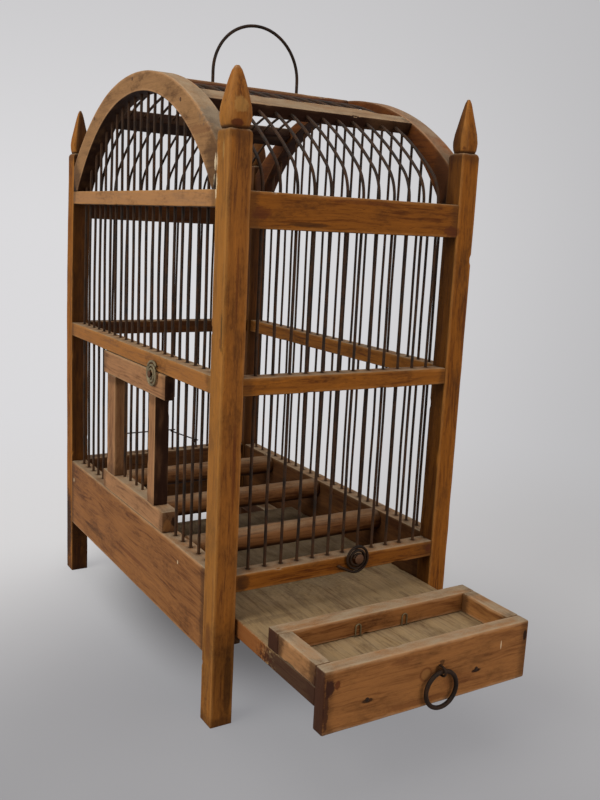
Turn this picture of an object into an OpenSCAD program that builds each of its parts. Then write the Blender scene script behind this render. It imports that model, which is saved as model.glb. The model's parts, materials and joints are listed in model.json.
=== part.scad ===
// Canary breeding cage: a mortised wooden frame with a vaulted wire roof, a framed side
// door that turns on one of the wall wires, and a litter drawer pulled part of the way out.
// Millimetres, +Z up. The origin is on the ground, at the centre of the whole outline.
// The drawer side faces -Y and the door side faces -X.

/* [Frame] */
// Width of the cage over the posts, along the drawer side
cage_width = 197; // [180:1:240]
// Depth of the cage over the posts, along the door side
cage_depth = 322; // [300:1:380]
// Side of the square corner posts
post_side = 15.5; // [15:0.5:18]
// Clear height of the legs under the base boards
leg_height = 49; // [25:1:90]
// Height of the base boards
base_height = 60; // [54:1:80]
// Thickness of the base boards
base_thickness = 14; // [12:0.5:15]
// Height of the wired bay that holds the door
door_bay = 118; // [100:1:150]
// Height of the middle rails
rail_height = 12; // [9:0.5:18]
// Thickness of all the rails
rail_thickness = 13; // [12:0.5:15]
// Height of the wired bay over the middle rails
upper_bay = 105; // [70:1:140]
// Height of the side rails under the arches
side_rail_height = 11; // [9:0.5:18]
// Height of the upper rail on the drawer side and on the back
end_rail_height = 23; // [14:0.5:30]
// Height of the bottom rail over the drawer
bottom_rail_height = 12.4; // [12:0.2:18]
// Drop of the bottom rail's top below the top of the base boards
bottom_rail_drop = 2; // [0:0.5:6]

/* [Joinery] */
// Length of the stub tenons
tenon_length = 5; // [3:0.5:5.5]
// Thickness of the stub tenons
tenon_thickness = 6; // [4:0.5:6]
// Distance of the tenons from the outer face
tenon_inset = 3.5; // [3:0.1:3.8]
// Shoulder above and below a tenon
tenon_shoulder = 2; // [1:0.5:3]

/* [Finials] */
// Height of the post's shoulder over the foot of the arch
post_shoulder = 9; // [4:0.5:20]
// Height of the carved finial
finial_height = 36.6; // [25:0.2:50]
// Height of the pared slope where the post meets its finial
finial_slope = 1.6; // [0.6:0.2:3]

/* [Arches and roof] */
// Thickness of the arches
arch_thickness = 14; // [11:0.5:15]
// Rise of the arches' inner curve over the side rails
arch_rise = 69.5; // [50:0.5:90]
// Depth of the arches at their crowns
arch_crown_depth = 14; // [12:0.5:20]
// Width of the feet of the right arch on the side rail
arch_foot_width = 8.4; // [6:0.2:12]
// Height of the feet of the right arch against the posts
arch_foot_height = 26.6; // [22:0.2:32]
// Distance from the ridge to the crown of the left arch, towards the drawer side
left_crown_shift = 8; // [0:0.5:10]
// Width of the near foot of the left arch
left_near_foot_width = 7; // [6:0.2:12]
// Width of the far foot of the left arch
left_far_foot_width = 11; // [6:0.2:12]
// Height of the far foot of the left arch
left_far_foot_height = 20; // [18:0.2:32]
// Width of the roof battens, along the curve
batten_width = 18; // [14:0.5:26]
// Thickness of the roof battens
batten_thickness = 9; // [7:0.5:11]
// Distance from the drawer side, or from the back, to the middle of a batten
batten_inset = 70; // [58:0.5:80]
// Width of the crown board
crown_width = 22; // [20:1:60]
// Thickness of the crown board
crown_thickness = 8; // [7.6:0.2:12]

/* [Hanging bail] */
// Diameter of the bail's wire
bail_wire = 2.5; // [1.6:0.1:4]
// Radius of the bail's bend, to the middle of the wire
bail_radius = 37.4; // [20:0.2:55]
// Straight stretch of the bail over the crown board
bail_leg = 9.7; // [2:0.1:40]
// Length of the clinched end under the crown board
bail_clinch = 8; // [4:0.5:15]
// Distance from the middle of the cage to the middle of the bail, towards the right
bail_shift = 3.9; // [-5:0.1:5]

/* [Wires] */
// Diameter of the cage wires
cage_wire = 2.2; // [1.4:0.1:2.6]
// Number of wires on the drawer side and on the back
end_wires = 12; // [6:1:14]
// Number of wires on each side
side_wires = 21; // [18:1:23]
// Depth of the blind holes that the wires stand in
wire_seat = 6; // [3:0.5:7]
// Height over the upper rail at which a roof wire starts to bend
bend_start = 0.2; // [0.1:0.1:1]
// Diameter of the thin lacing wire
lacing_wire_d = 1.3; // [0.8:0.1:1.6]
// Height of the lacing wire over the base boards
lacing_height = 19.3; // [10:0.1:60]
// Drop of the lacing wire's loose end
lacing_drop = 13; // [4:0.5:18]

/* [Door] */
// Number of the wall wire that the door turns on, from the drawer side
hinge_wire_number = 15; // [14:1:16]
// Number of the last wall wire in front of the door
stop_wire_number = 5; // [4:1:6]
// Distance from that wire to the near end of the door's rails
door_near_gap = 7.4; // [4:0.2:9]
// Overhang of the door's rails past the hinge wire
hinge_overhang = 4.4; // [3.4:0.1:5.5]
// Thickness of the door's rails
door_thickness = 13; // [12:0.5:14]
// Height of the door's top rail
door_top_height = 18.5; // [12:0.5:24]
// Height of the door's bottom rail
door_bottom_height = 15.7; // [10:0.1:22]
// Thickness of the door's stiles
stile_thickness = 11.5; // [10:0.5:13]
// Width of the door's near stile
near_stile = 13.4; // [9:0.2:18]
// Width of the door's far stile
far_stile = 18; // [12:0.5:20]
// Distance from the near end of the door's rails to its near stile
near_stile_inset = 17; // [8:0.5:24]
// Distance from the far end of the door's rails to its far stile
far_stile_inset = 9; // [8.4:0.2:14]
// Clearance under the door
door_floor_gap = 0.3; // [0.2:0.1:1]
// Clearance over the door
door_head_gap = 0.5; // [0.3:0.1:1.5]

/* [Wound wire button and latch] */
// Diameter of the button's wire
button_wire = 1.6; // [1:0.1:1.7]
// Outer diameter of the button on the door
button_d = 18; // [14:0.5:26]
// Number of turns in the button
button_turns = 2.8; // [1.5:0.1:2.8]
// Distance of the button's nail below the top of the door
button_drop = 2.2; // [2:0.1:6]
// Distance of the button's nail from the near end of the door's rails
button_inset = 21; // [12:0.5:60]
// Diameter of the latch's wire
latch_wire = 1.7; // [1:0.1:1.8]
// Outer diameter of the latch over the drawer
latch_d = 21.5; // [18:0.5:28]
// Number of turns in the latch
latch_turns = 2.8; // [1.5:0.1:2.8]
// Length of the latch's straight tail
latch_tail = 12.5; // [4:0.5:18]
// Distance of the latch's nail from the left side of the cage
latch_at = 111.5; // [60:0.5:140]
// Distance of the latch's nail below the top of the bottom rail
latch_drop = 2.6; // [2.2:0.1:6]
// Rise of a winding's eye over its rim
winding_dome = 1.2; // [0:0.1:2]

/* [Nails] */
// Diameter of the nails' shanks
nail_d = 1.8; // [1.2:0.1:1.9]
// Diameter of the button nail's head
button_head = 5.6; // [5:0.1:8]
// Diameter of the latch nail's head
latch_head = 7.6; // [6:0.1:9]
// Thickness of the nails' heads
head_thickness = 1.2; // [0.8:0.1:2]
// Depth of the button and latch nails in the wood
nail_seat = 9; // [5:0.5:10]
// Length of the roof and drawer nails
long_nail = 26; // [20:1:32]
// Diameter of the roof and drawer nails' heads
long_nail_head = 3.2; // [2.6:0.1:5]

/* [Perches] */
// Diameter of the perches
perch_d = 18; // [14:0.5:20]
// Diameter of the perches' whittled ends
perch_end_d = 12; // [8:0.5:13]
// Depth of the sockets that hold the perches' ends
perch_seat = 4; // [2:0.5:5]
// Distance of the perches' middle line below the top of the base boards
perch_drop = 8; // [8:0.5:14]
// Distance from the drawer side to the front perch
perch_front_at = 75; // [50:1:110]
// Distance from the drawer side to the middle perch
perch_middle_at = 168; // [135:1:200]
// Distance from the drawer side to the back perch
perch_back_at = 254; // [225:1:270]

/* [Drawer] */
// Distance that the drawer stands out
drawer_out = 106; // [0:1:140]
// Clearance beside the drawer, on each side
drawer_side_gap = 3; // [1:0.5:5]
// Clearance between the drawer's box and the bottom rail
drawer_head_gap = 6.6; // [1:0.2:8]
// Height of the drawer's box walls
wall_height = 14; // [8:0.5:16]
// Thickness of the drawer's floor
floor_thickness = 12.3; // [6:0.1:13]
// Drop of the drawer front below the floor's underside
front_lip = 14.2; // [4:0.2:18]
// Thickness of the drawer front
front_thickness = 10.2; // [8:0.2:14]
// Depth of the drawer's box from the front to its back
box_depth = 66; // [50:1:150]
// Thickness of the box's back wall
box_back = 12.3; // [8:0.1:16]
// Thickness of the box's side walls
box_side = 10.5; // [7:0.5:14]
// Clearance behind the closed drawer
drawer_back_gap = 2; // [1:0.5:8]
// Width of the strips that the drawer slides on
runner_width = 15; // [8:0.5:18]
// Clearance between the drawer and the strips
slide_gap = 0.3; // [0.2:0.1:0.8]

/* [Drawer ring] */
// Diameter of the ring's wire
ring_wire = 3; // [2:0.1:3.4]
// Outer diameter of the ring
ring_d = 27; // [18:0.5:36]
// Diameter of the staple's wire
staple_wire = 1.6; // [1.2:0.1:2]
// Play of the ring in its staple
ring_play = 0.5; // [0.3:0.1:1]
// Distance of the staple below the top of the drawer front
staple_drop = 17.8; // [8:0.2:24]
// Distance of the staple from the drawer's left side
staple_from_left = 85.5; // [60:0.5:110]
// Distance of the ring's hanging plane from the drawer front
ring_standoff = 3; // [2.4:0.1:5]
// Depth of the staple's legs in the wood
staple_seat = 8; // [4:0.5:9]

/* [Small staples in the drawer] */
// Diameter of the small staples' wire
small_wire = 1; // [0.7:0.1:1.4]
// Height of the small staples over the drawer's floor
small_staple_height = 9; // [5:0.5:12]
// Distance between the legs of a small staple
small_staple_width = 4; // [3:0.2:7]
// Distance from the drawer's left side to the first small staple
small_staple_first = 60.5; // [20:0.5:80]
// Distance between the two small staples
small_staple_pitch = 38; // [16:0.5:60]

/* [Nails in the drawer front] */
// Distance from the drawer's left side to the left nail
drawer_nail_from_left = 31; // [12:0.5:50]
// Distance from the drawer's right side to the right nail
drawer_nail_from_right = 43.5; // [12:0.5:60]
// Height of the nails over the floor's underside
drawer_nail_rise = 1.8; // [1.8:0.1:6]

/* [Hidden] */

// Facets of small and of large circles; both count as true circles.
$fn = 48;
smooth = 160;

// Clearances inside the glued and nailed work.
wire_fit = 0.05;
nail_fit = 0.03;
tenon_side_fit = 0.1;
tenon_end_fit = 0.3;
perch_fit = 0.05;
hinge_fit = 0.05;
winding_gap = 0.3;
cut = 1;

// Heights of the frame, from the ground up.
base_top = leg_height + base_height;
middle_z = base_top + door_bay;
middle_top = middle_z + rail_height;
side_upper_z = middle_top + upper_bay;
upper_top = side_upper_z + side_rail_height;
end_upper_z = upper_top - end_rail_height;
bottom_rail_top = base_top - bottom_rail_drop;
bottom_rail_z = bottom_rail_top - bottom_rail_height;
arch_foot_top = upper_top + arch_foot_height;
post_top = arch_foot_top + post_shoulder;

// An arch is [crown's place along the cage, width of its near foot, height of its near foot,
// width of its far foot, height of its far foot]. Each of its curves is two arcs that meet at
// the crown, and the left arch was sawn with its crown nearer to the drawer side.
ridge_y = cage_depth / 2;
arch_crown_z = upper_top + arch_rise + arch_crown_depth;
LEFT_ARCH = [
    ridge_y - left_crown_shift, left_near_foot_width, arch_foot_height,
    left_far_foot_width, left_far_foot_height
];
RIGHT_ARCH = [ridge_y, arch_foot_width, arch_foot_height, arch_foot_width, arch_foot_height];
between_arches = cage_width - 2 * arch_thickness;

// Roof: battens and wires follow the right arch's outer curve on both sides of the ridge, and
// the crown board lies level between the arches.
roof_outer_radius = arch_outer_radius(RIGHT_ARCH, false);
roof_z = arch_crown_z - roof_outer_radius;
batten_angle = asin((ridge_y - batten_inset) / roof_outer_radius);
batten_half_angle = batten_width / roof_outer_radius * 90 / PI;
crown_z = arch_crown_z - crown_thickness;
crown_half = crown_width / 2;
bail_x = cage_width / 2 + bail_shift;

// Wires stand on the posts' middle line. A roof wire leaves the upper rail upright, bends
// through a tight arc and runs on along a wide arc in the middle of the batten's thickness.
wire_inset = post_side / 2;
roof_radius = roof_outer_radius - batten_thickness / 2;
roof_start_z = upper_top + bend_start;
roof_run = ridge_y - wire_inset;
roof_rise = roof_start_z - roof_z;
bend_radius = (roof_radius * roof_radius - roof_run * roof_run - roof_rise * roof_rise)
    / (2 * (roof_radius - roof_run));
bend_angle = atan2(roof_rise, roof_run - bend_radius);
crown_seat = 8;
roof_end_angle = 90 - asin((crown_half - crown_seat) / roof_radius);

end_pitch = (cage_width - 2 * post_side) / (end_wires + 1);
side_pitch = (cage_depth - 2 * post_side) / (side_wires + 1);
side_seat_z = base_top - wire_seat;
front_seat_z = bottom_rail_top - wire_seat;

// Door leaf.
hinge_y = side_wire_y(hinge_wire_number);
door_near_y = side_wire_y(stop_wire_number) + door_near_gap;
door_far_y = hinge_y + hinge_overhang;
door_z = base_top + door_floor_gap;
door_top_z = middle_z - door_head_gap;
door_opening_z = door_z + door_bottom_height;
door_opening_top = door_top_z - door_top_height;
near_stile_y = door_near_y + near_stile_inset;
far_stile_y = door_far_y - far_stile_inset - far_stile;
stile_tenon = 5;
stile_tenon_thickness = 5;
stile_tenon_shoulder = 2.5;
door_wire_seat = 5;
door_wire_margin = 3.5;
door_end_radius = 3;
button_y = door_near_y + button_inset;
button_z = door_top_z - button_drop;
latch_z = bottom_rail_top - latch_drop;

// Drawer, from its top down.
drawer_x = post_side + drawer_side_gap;
drawer_width = cage_width - 2 * drawer_x;
drawer_top = bottom_rail_z - drawer_head_gap;
floor_top = drawer_top - wall_height;
floor_z = floor_top - floor_thickness;
front_z = floor_z - front_lip;
front_face_y = -drawer_out;
box_y = front_face_y + front_thickness;
box_back_y = front_face_y + box_depth - box_back;
floor_back_y = cage_depth - base_thickness - drawer_back_gap - drawer_out;
runner_top = floor_z - slide_gap;
staple_z = drawer_top - staple_drop;
staple_x = drawer_x + staple_from_left;
ring_radius = (ring_d - ring_wire) / 2;
eye_radius = (ring_wire + staple_wire) / 2 + ring_play;
ring_y = front_face_y - ring_standoff;
small_staple_gap = 0.1;
small_staple_y = box_back_y - small_wire / 2 - small_staple_gap;
small_staple_seat = 3;
small_fit = 0.03;

// Places of the nails through an arch, as [distance from the ridge, height]: one into the end
// of the crown board and one into the end of each batten, just over the batten's inner face.
batten_nail_rise = 2.6;
roof_nail_radius = roof_outer_radius - batten_thickness + batten_nail_rise;
roof_nail_places = concat(
    [[0, arch_crown_z - crown_thickness / 2]],
    [for (side = [-1, 1])
        [side * roof_nail_radius * sin(batten_angle), roof_z + roof_nail_radius * cos(batten_angle)]]
);
long_head_thickness = 1;

// Windings.
winding_steps = 24;
winding_sides = 6;
button_rise = winding_gap + button_wire + winding_dome + winding_gap;
latch_rise = winding_gap + latch_wire + winding_dome + winding_gap;
button_eye = nail_d / 2 + button_wire / 2 + winding_gap;
latch_eye = nail_d / 2 + latch_wire / 2 + winding_gap + 0.6;
button_rim = (button_d - button_wire) / 2;
latch_rim = (latch_d - latch_wire) / 2;
button_end_angle = 40;
latch_end_angle = 243;
apart_steps = 10;

// Lacing wire.
lacing_play = 0.12;
lacing_radius = (cage_wire + lacing_wire_d) / 2 + lacing_play;
lacing_rise = 2.4;
lacing_steps = 16;
lacing_z = base_top + lacing_height;

// The whole outline, which sets the origin.
outline_left = -button_rise - head_thickness;
outline_front = ring_y - max(ring_wire / 2, eye_radius + staple_wire / 2);
origin_x = (outline_left + cage_width) / 2;
origin_y = (outline_front + cage_depth) / 2;

// Share of the post's half width, and share of the finial's height.
finial_outline = [
    [0.77, 0], [0.9, 0.08], [0.95, 0.2], [0.85, 0.37], [0.67, 0.54], [0.45, 0.76], [0.27, 0.92], [0.13, 1]
];
// Width across the finial's pared corners, as a share of its width across the flats.
finial_pare = 1.16;

wood_dark = "#6b3f1d";
wood_warm = "#9a6534";
wood_pale = "#a88459";
wood_grey = "#8f8069";
wire_dark = "#2f2a26";
wire_brass = "#8f8055";

function circle_radius(half_span, rise) = (rise * rise + half_span * half_span) / (2 * rise);
function end_wire_x(number) = post_side + end_pitch * number;
function side_wire_y(number) = post_side + side_pitch * number;
function arch_span(arch, far) = far ? cage_depth - post_side - arch[0] : arch[0] - post_side;
function arch_outer_radius(arch, far) =
    circle_radius(arch_span(arch, far), arch_crown_z - upper_top - arch[far ? 4 : 2]);
function arch_inner_radius(arch, far) =
    circle_radius(arch_span(arch, far) - arch[far ? 3 : 1], arch_rise);
function arch_inner_height(arch, y) =
    let (r = arch_inner_radius(arch, y > arch[0]))
    upper_top + arch_rise - r + sqrt(r * r - pow(y - arch[0], 2));
function in_doorway(number) = number > stop_wire_number && number < hinge_wire_number;

// Everything is drawn with the outer corner of the front left post at the origin, and then
// moved so that the origin is at the centre of the whole outline.
module in_place() {
    translate([-origin_x, -origin_y, 0]) children();
}

// Second copy on the other side of the cage, across its width or its depth.
module across_width() {
    translate([cage_width, 0, 0]) mirror([1, 0, 0]) children();
}

module across_depth() {
    translate([0, cage_depth, 0]) mirror([0, 1, 0]) children();
}

// ---------- posts and rails ----------

// Spear-shaped finial: the same outline cut on two faces, then the corners pared away.
module finial_blade(share) {
    half = post_side / 2 * share;
    rotate([90, 0, 0])
        linear_extrude(2 * post_side, center = true)
            polygon(concat(
                [for (p = finial_outline) [p[0] * half, p[1] * finial_height]],
                [for (i = [len(finial_outline) - 1 : -1 : 0])
                    [-finial_outline[i][0] * half, finial_outline[i][1] * finial_height]]
            ));
}

module finial() {
    translate([post_side / 2, post_side / 2, post_top])
        intersection() {
            finial_blade(1);
            rotate([0, 0, 90]) finial_blade(1);
            rotate([0, 0, 45]) finial_blade(finial_pare);
            rotate([0, 0, -45]) finial_blade(finial_pare);
        }
}

// Pared slope all round the top of the post.
module post_shoulder_cut() {
    for (turn = [0 : 90 : 270])
        translate([post_side / 2, post_side / 2, post_top])
            rotate([0, 0, turn])
                translate([post_side / 2, 0, 0])
                    rotate([90, 0, 0])
                        linear_extrude(2 * post_side, center = true)
                            polygon([[-finial_slope, 0], [cut, 0], [cut, -finial_slope - cut],
                                [0, -finial_slope]]);
}

// Mortise for a bar of the given height, in the post's face that looks along +X.
module mortise(bar) {
    translate([
        post_side - tenon_length - tenon_end_fit,
        tenon_inset - tenon_side_fit,
        bar[0] + tenon_shoulder - tenon_side_fit
    ])
        cube([
            tenon_length + tenon_end_fit + cut,
            tenon_thickness + 2 * tenon_side_fit,
            bar[1] - 2 * (tenon_shoulder - tenon_side_fit)
        ]);
}

// Front left post; the bars along X and along Y are given as [height of underside, height].
module corner_post(end_bars) {
    difference() {
        union() {
            cube([post_side, post_side, post_top]);
            finial();
        }
        post_shoulder_cut();
        for (bar = end_bars) mortise(bar);
        for (bar = side_bars) mirror([1, -1, 0]) mortise(bar);
    }
}

end_bars_front = [
    [bottom_rail_z, bottom_rail_height], [middle_z, rail_height], [end_upper_z, end_rail_height]
];
end_bars_back = [[leg_height, base_height], [middle_z, rail_height], [end_upper_z, end_rail_height]];
side_bars = [[leg_height, base_height], [middle_z, rail_height], [side_upper_z, side_rail_height]];

// Bar between two posts along X, with a stub tenon at each end.
module tenoned_bar(span, thickness, height) {
    cube([span, thickness, height]);
    translate([-tenon_length, tenon_inset, tenon_shoulder])
        cube([span + 2 * tenon_length, tenon_thickness, height - 2 * tenon_shoulder]);
}

module end_bar(z, thickness, height) {
    translate([post_side, 0, z])
        tenoned_bar(cage_width - 2 * post_side, thickness, height);
}

module side_bar(z, thickness, height) {
    mirror([1, -1, 0])
        translate([post_side, 0, z])
            tenoned_bar(cage_depth - 2 * post_side, thickness, height);
}

// ---------- holes for the wires ----------

module end_wire_holes(z, depth) {
    for (i = [1 : end_wires])
        translate([end_wire_x(i), wire_inset, z])
            cylinder(h = depth, r = cage_wire / 2 + wire_fit);
}

module side_wire_hole(number, z, depth) {
    translate([wire_inset, side_wire_y(number), z])
        cylinder(h = depth, r = cage_wire / 2 + wire_fit);
}

module side_wire_holes(z, depth) {
    for (i = [1 : side_wires]) side_wire_hole(i, z, depth);
}

// ---------- frame pieces on the drawer side and at the back ----------

module corner_post_front_left() {
    color(wood_warm) in_place() corner_post(end_bars_front);
}

module corner_post_front_right() {
    color(wood_warm) in_place() across_width() corner_post(end_bars_front);
}

module corner_post_back_left() {
    color(wood_warm) in_place() across_depth() corner_post(end_bars_back);
}

module corner_post_back_right() {
    color(wood_warm) in_place() across_depth() across_width() corner_post(end_bars_back);
}

module front_bottom_rail() {
    color(wood_warm) in_place()
        difference() {
            end_bar(bottom_rail_z, rail_thickness, bottom_rail_height);
            end_wire_holes(front_seat_z, wire_seat + cut);
            translate([latch_at, 0, latch_z]) rotate([90, 0, 0]) nail_hole(nail_seat);
        }
}

module end_middle_rail() {
    difference() {
        end_bar(middle_z, rail_thickness, rail_height);
        end_wire_holes(middle_z - cut, rail_height + 2 * cut);
    }
}

module end_upper_rail() {
    difference() {
        end_bar(end_upper_z, rail_thickness, end_rail_height);
        end_wire_holes(end_upper_z - cut, end_rail_height + 2 * cut);
    }
}

module front_middle_rail() {
    color(wood_warm) in_place() end_middle_rail();
}

module front_upper_rail() {
    color(wood_dark) in_place() end_upper_rail();
}

module back_middle_rail() {
    color(wood_dark) in_place() across_depth() end_middle_rail();
}

module back_upper_rail() {
    color(wood_dark) in_place() across_depth() end_upper_rail();
}

module base_board_back() {
    color(wood_dark) in_place() across_depth()
        difference() {
            end_bar(leg_height, base_thickness, base_height);
            end_wire_holes(side_seat_z, wire_seat + cut);
        }
}

// ---------- frame pieces on the sides ----------

module perch_sockets() {
    for (y = [perch_front_at, perch_middle_at, perch_back_at])
        translate([base_thickness - perch_seat, y, base_top - perch_drop])
            rotate([0, 90, 0])
                cylinder(h = perch_seat + cut, d = perch_end_d + 2 * perch_fit);
}

module base_board_left() {
    color(wood_dark) in_place()
        difference() {
            side_bar(leg_height, base_thickness, base_height);
            for (i = [1 : side_wires])
                if (!in_doorway(i)) side_wire_hole(i, side_seat_z, wire_seat + cut);
            perch_sockets();
        }
}

module base_board_right() {
    color(wood_dark) in_place() across_width()
        difference() {
            side_bar(leg_height, base_thickness, base_height);
            side_wire_holes(side_seat_z, wire_seat + cut);
            perch_sockets();
        }
}

// Over the doorway the wires stand in blind holes, and elsewhere they pass through.
module left_middle_rail() {
    color(wood_warm) in_place()
        difference() {
            side_bar(middle_z, rail_thickness, rail_height);
            for (i = [1 : side_wires])
                if (in_doorway(i)) side_wire_hole(i, middle_top - wire_seat, wire_seat + cut);
                else side_wire_hole(i, middle_z - cut, rail_height + 2 * cut);
        }
}

module right_middle_rail() {
    color(wood_warm) in_place() across_width()
        difference() {
            side_bar(middle_z, rail_thickness, rail_height);
            side_wire_holes(middle_z - cut, rail_height + 2 * cut);
        }
}

module side_upper_rail() {
    difference() {
        side_bar(side_upper_z, rail_thickness, side_rail_height);
        side_wire_holes(side_upper_z - cut, side_rail_height + 2 * cut);
    }
}

module left_upper_rail() {
    color(wood_warm) in_place() side_upper_rail();
}

module right_upper_rail() {
    color(wood_warm) in_place() across_width() side_upper_rail();
}

// ---------- arches and roof ----------

// Cylinder along X, its middle line at the given place along the cage and height.
module cross_cylinder(radius, y, z, x, length) {
    translate([x, y, z])
        rotate([0, 90, 0])
            cylinder(h = length, r = radius, $fn = smooth);
}

// Half of an arch between its crown and one foot, on the far or on the near side.
module arch_half(arch, far) {
    outer = arch_outer_radius(arch, far);
    inner = arch_inner_radius(arch, far);
    difference() {
        intersection() {
            cross_cylinder(outer, arch[0], arch_crown_z - outer, 0, arch_thickness);
            translate([0, far ? arch[0] : post_side, upper_top])
                cube([arch_thickness, arch_span(arch, far), arch_crown_z]);
        }
        cross_cylinder(inner, arch[0], upper_top + arch_rise - inner, -cut, arch_thickness + 2 * cut);
    }
}

module arch(arch) {
    difference() {
        union() {
            arch_half(arch, false);
            arch_half(arch, true);
        }
        for (i = [1 : side_wires])
            side_wire_hole(i, upper_top - cut, side_wire_top(arch, i) - upper_top + cut);
        roof_nail_holes();
    }
}

function side_wire_top(arch, number) = arch_inner_height(arch, side_wire_y(number)) + wire_seat;

module arch_left() {
    color(wood_pale) in_place() arch(LEFT_ARCH);
}

module arch_right() {
    color(wood_pale) in_place() across_width() arch(RIGHT_ARCH);
}

// Slice of the roof between two angles from the vertical, on the drawer side.
module roof_wedge(from_angle, to_angle, x, length) {
    reach = 2 * roof_outer_radius;
    translate([x, ridge_y, roof_z])
        rotate([90, 0, 90])
            linear_extrude(length)
                polygon([
                    [0, 0],
                    [-reach * sin(from_angle), reach * cos(from_angle)],
                    [-reach * sin(to_angle), reach * cos(to_angle)]
                ]);
}

module roof_batten() {
    difference() {
        intersection() {
            cross_cylinder(roof_outer_radius, ridge_y, roof_z, arch_thickness, between_arches);
            roof_wedge(batten_angle - batten_half_angle, batten_angle + batten_half_angle,
                arch_thickness, between_arches);
        }
        cross_cylinder(roof_outer_radius - batten_thickness, ridge_y, roof_z,
            arch_thickness - cut, between_arches + 2 * cut);
        roof_wire_holes(bend_angle, 90 - batten_angle + 2 * batten_half_angle);
        roof_nail_holes();
        across_width() roof_nail_holes();
    }
}

module roof_batten_front() {
    color(wood_pale) in_place() roof_batten();
}

module roof_batten_back() {
    color(wood_pale) in_place() across_depth() roof_batten();
}

module crown_board() {
    color(wood_dark) in_place()
        difference() {
            translate([arch_thickness, ridge_y - crown_half, crown_z])
                cube([between_arches, crown_width, crown_thickness]);
            roof_wire_holes(bend_angle, roof_end_angle);
            across_depth() roof_wire_holes(bend_angle, roof_end_angle);
            roof_nail_holes();
            across_width() roof_nail_holes();
            for (side = [-1, 1])
                translate([bail_x + side * bail_radius, ridge_y, crown_z - cut])
                    cylinder(h = crown_thickness + 2 * cut, d = bail_wire + 2 * wire_fit);
        }
}

// Bail of one wire: two upright legs, a half circle, and ends clinched under the board.
module hanging_bail() {
    top_z = arch_crown_z + bail_leg;
    clinch_z = crown_z - bail_wire / 2;
    color(wire_dark) in_place()
        translate([bail_x, ridge_y, 0]) {
            translate([0, 0, top_z])
                rotate([90, 0, 0])
                    rotate_extrude(angle = 180, $fn = smooth)
                        translate([bail_radius, 0]) circle(d = bail_wire);
            for (side = [-1, 1]) {
                translate([side * bail_radius, 0, clinch_z])
                    cylinder(h = top_z - clinch_z, d = bail_wire);
                translate([side * bail_radius, 0, clinch_z]) sphere(d = bail_wire);
                translate([side * bail_radius, 0, clinch_z])
                    rotate([0, -90 * side, 0])
                        cylinder(h = bail_clinch, d = bail_wire);
            }
        }
}

// ---------- wires ----------

// Arc of round section in the plane across the cage at x, about a point at (y, z), from one
// angle to another above the direction of -Y.
module roof_arc(x, y, z, radius, from_angle, to_angle, section) {
    translate([x, y, z])
        rotate([0, 0, 180])
            rotate([90, 0, 90])
                rotate([0, 0, from_angle])
                    rotate_extrude(angle = to_angle - from_angle, $fn = smooth)
                        translate([radius, 0]) circle(d = section);
}

module roof_wire_holes(from_angle, to_angle) {
    for (i = [1 : end_wires])
        roof_arc(end_wire_x(i), ridge_y, roof_z, roof_radius, from_angle, to_angle,
            cage_wire + 2 * wire_fit);
}

// Wire on the drawer side or the back: upright, then a tight bend, then the wide roof arc.
module roof_wire(x, foot_z) {
    translate([x, wire_inset, foot_z])
        cylinder(h = roof_start_z - foot_z, d = cage_wire);
    roof_arc(x, wire_inset + bend_radius, roof_start_z, bend_radius, 0, bend_angle, cage_wire);
    roof_arc(x, ridge_y, roof_z, roof_radius, bend_angle, roof_end_angle, cage_wire);
}

module front_wires() {
    color(wire_dark) in_place()
        for (i = [1 : end_wires]) roof_wire(end_wire_x(i), front_seat_z);
}

module back_wires() {
    color(wire_dark) in_place() across_depth()
        for (i = [1 : end_wires]) roof_wire(end_wire_x(i), side_seat_z);
}

module side_wire(arch, number, foot_z) {
    translate([wire_inset, side_wire_y(number), foot_z])
        cylinder(h = side_wire_top(arch, number) - foot_z, d = cage_wire);
}

module left_wires() {
    color(wire_dark) in_place()
        for (i = [1 : side_wires])
            if (i != hinge_wire_number)
                side_wire(LEFT_ARCH, i, in_doorway(i) ? middle_top - wire_seat : side_seat_z);
}

module right_wires() {
    color(wire_dark) in_place() across_width()
        for (i = [1 : side_wires]) side_wire(RIGHT_ARCH, i, side_seat_z);
}

module door_hinge_wire() {
    color(wire_dark) in_place() side_wire(LEFT_ARCH, hinge_wire_number, side_seat_z);
}

// ---------- sweeps: wound and laced wires ----------

function unit(v) = v / norm(v);
function heading(path, i) =
    unit(path[min(i + 1, len(path) - 1)] - path[max(i - 1, 0)]);

// Unbroken tube of round section along a path that never runs along the given upward direction.
module wire_along(path, d, up) {
    last = len(path) - 1;
    rings = [for (i = [0 : last])
        let (along = heading(path, i), side = unit(cross(along, up)), over = cross(side, along))
        for (k = [0 : winding_sides - 1])
            path[i] + d / 2 * (cos(360 * k / winding_sides) * side
                + sin(360 * k / winding_sides) * over)];
    walls = [for (i = [0 : last - 1], k = [0 : winding_sides - 1])
        let (a = i * winding_sides + k, b = i * winding_sides + (k + 1) % winding_sides)
        for (face = [[a, b, a + winding_sides], [b, b + winding_sides, a + winding_sides]]) face];
    start_cap = [for (k = [1 : winding_sides - 2]) [0, k + 1, k]];
    end_ring = last * winding_sides;
    end_cap = [for (k = [1 : winding_sides - 2]) [end_ring, end_ring + k, end_ring + k + 1]];
    polyhedron(points = rings, faces = concat(walls, start_cap, end_cap), convexity = 10);
}

// Least clear distance between stretches of a path that are at least a third of a turn apart.
function least_gap(path, d, apart) =
    min([for (i = [0 : len(path) - 1], j = [i + apart : 1 : len(path) - 1])
        norm(path[i] - path[j])]) - d;

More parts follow.
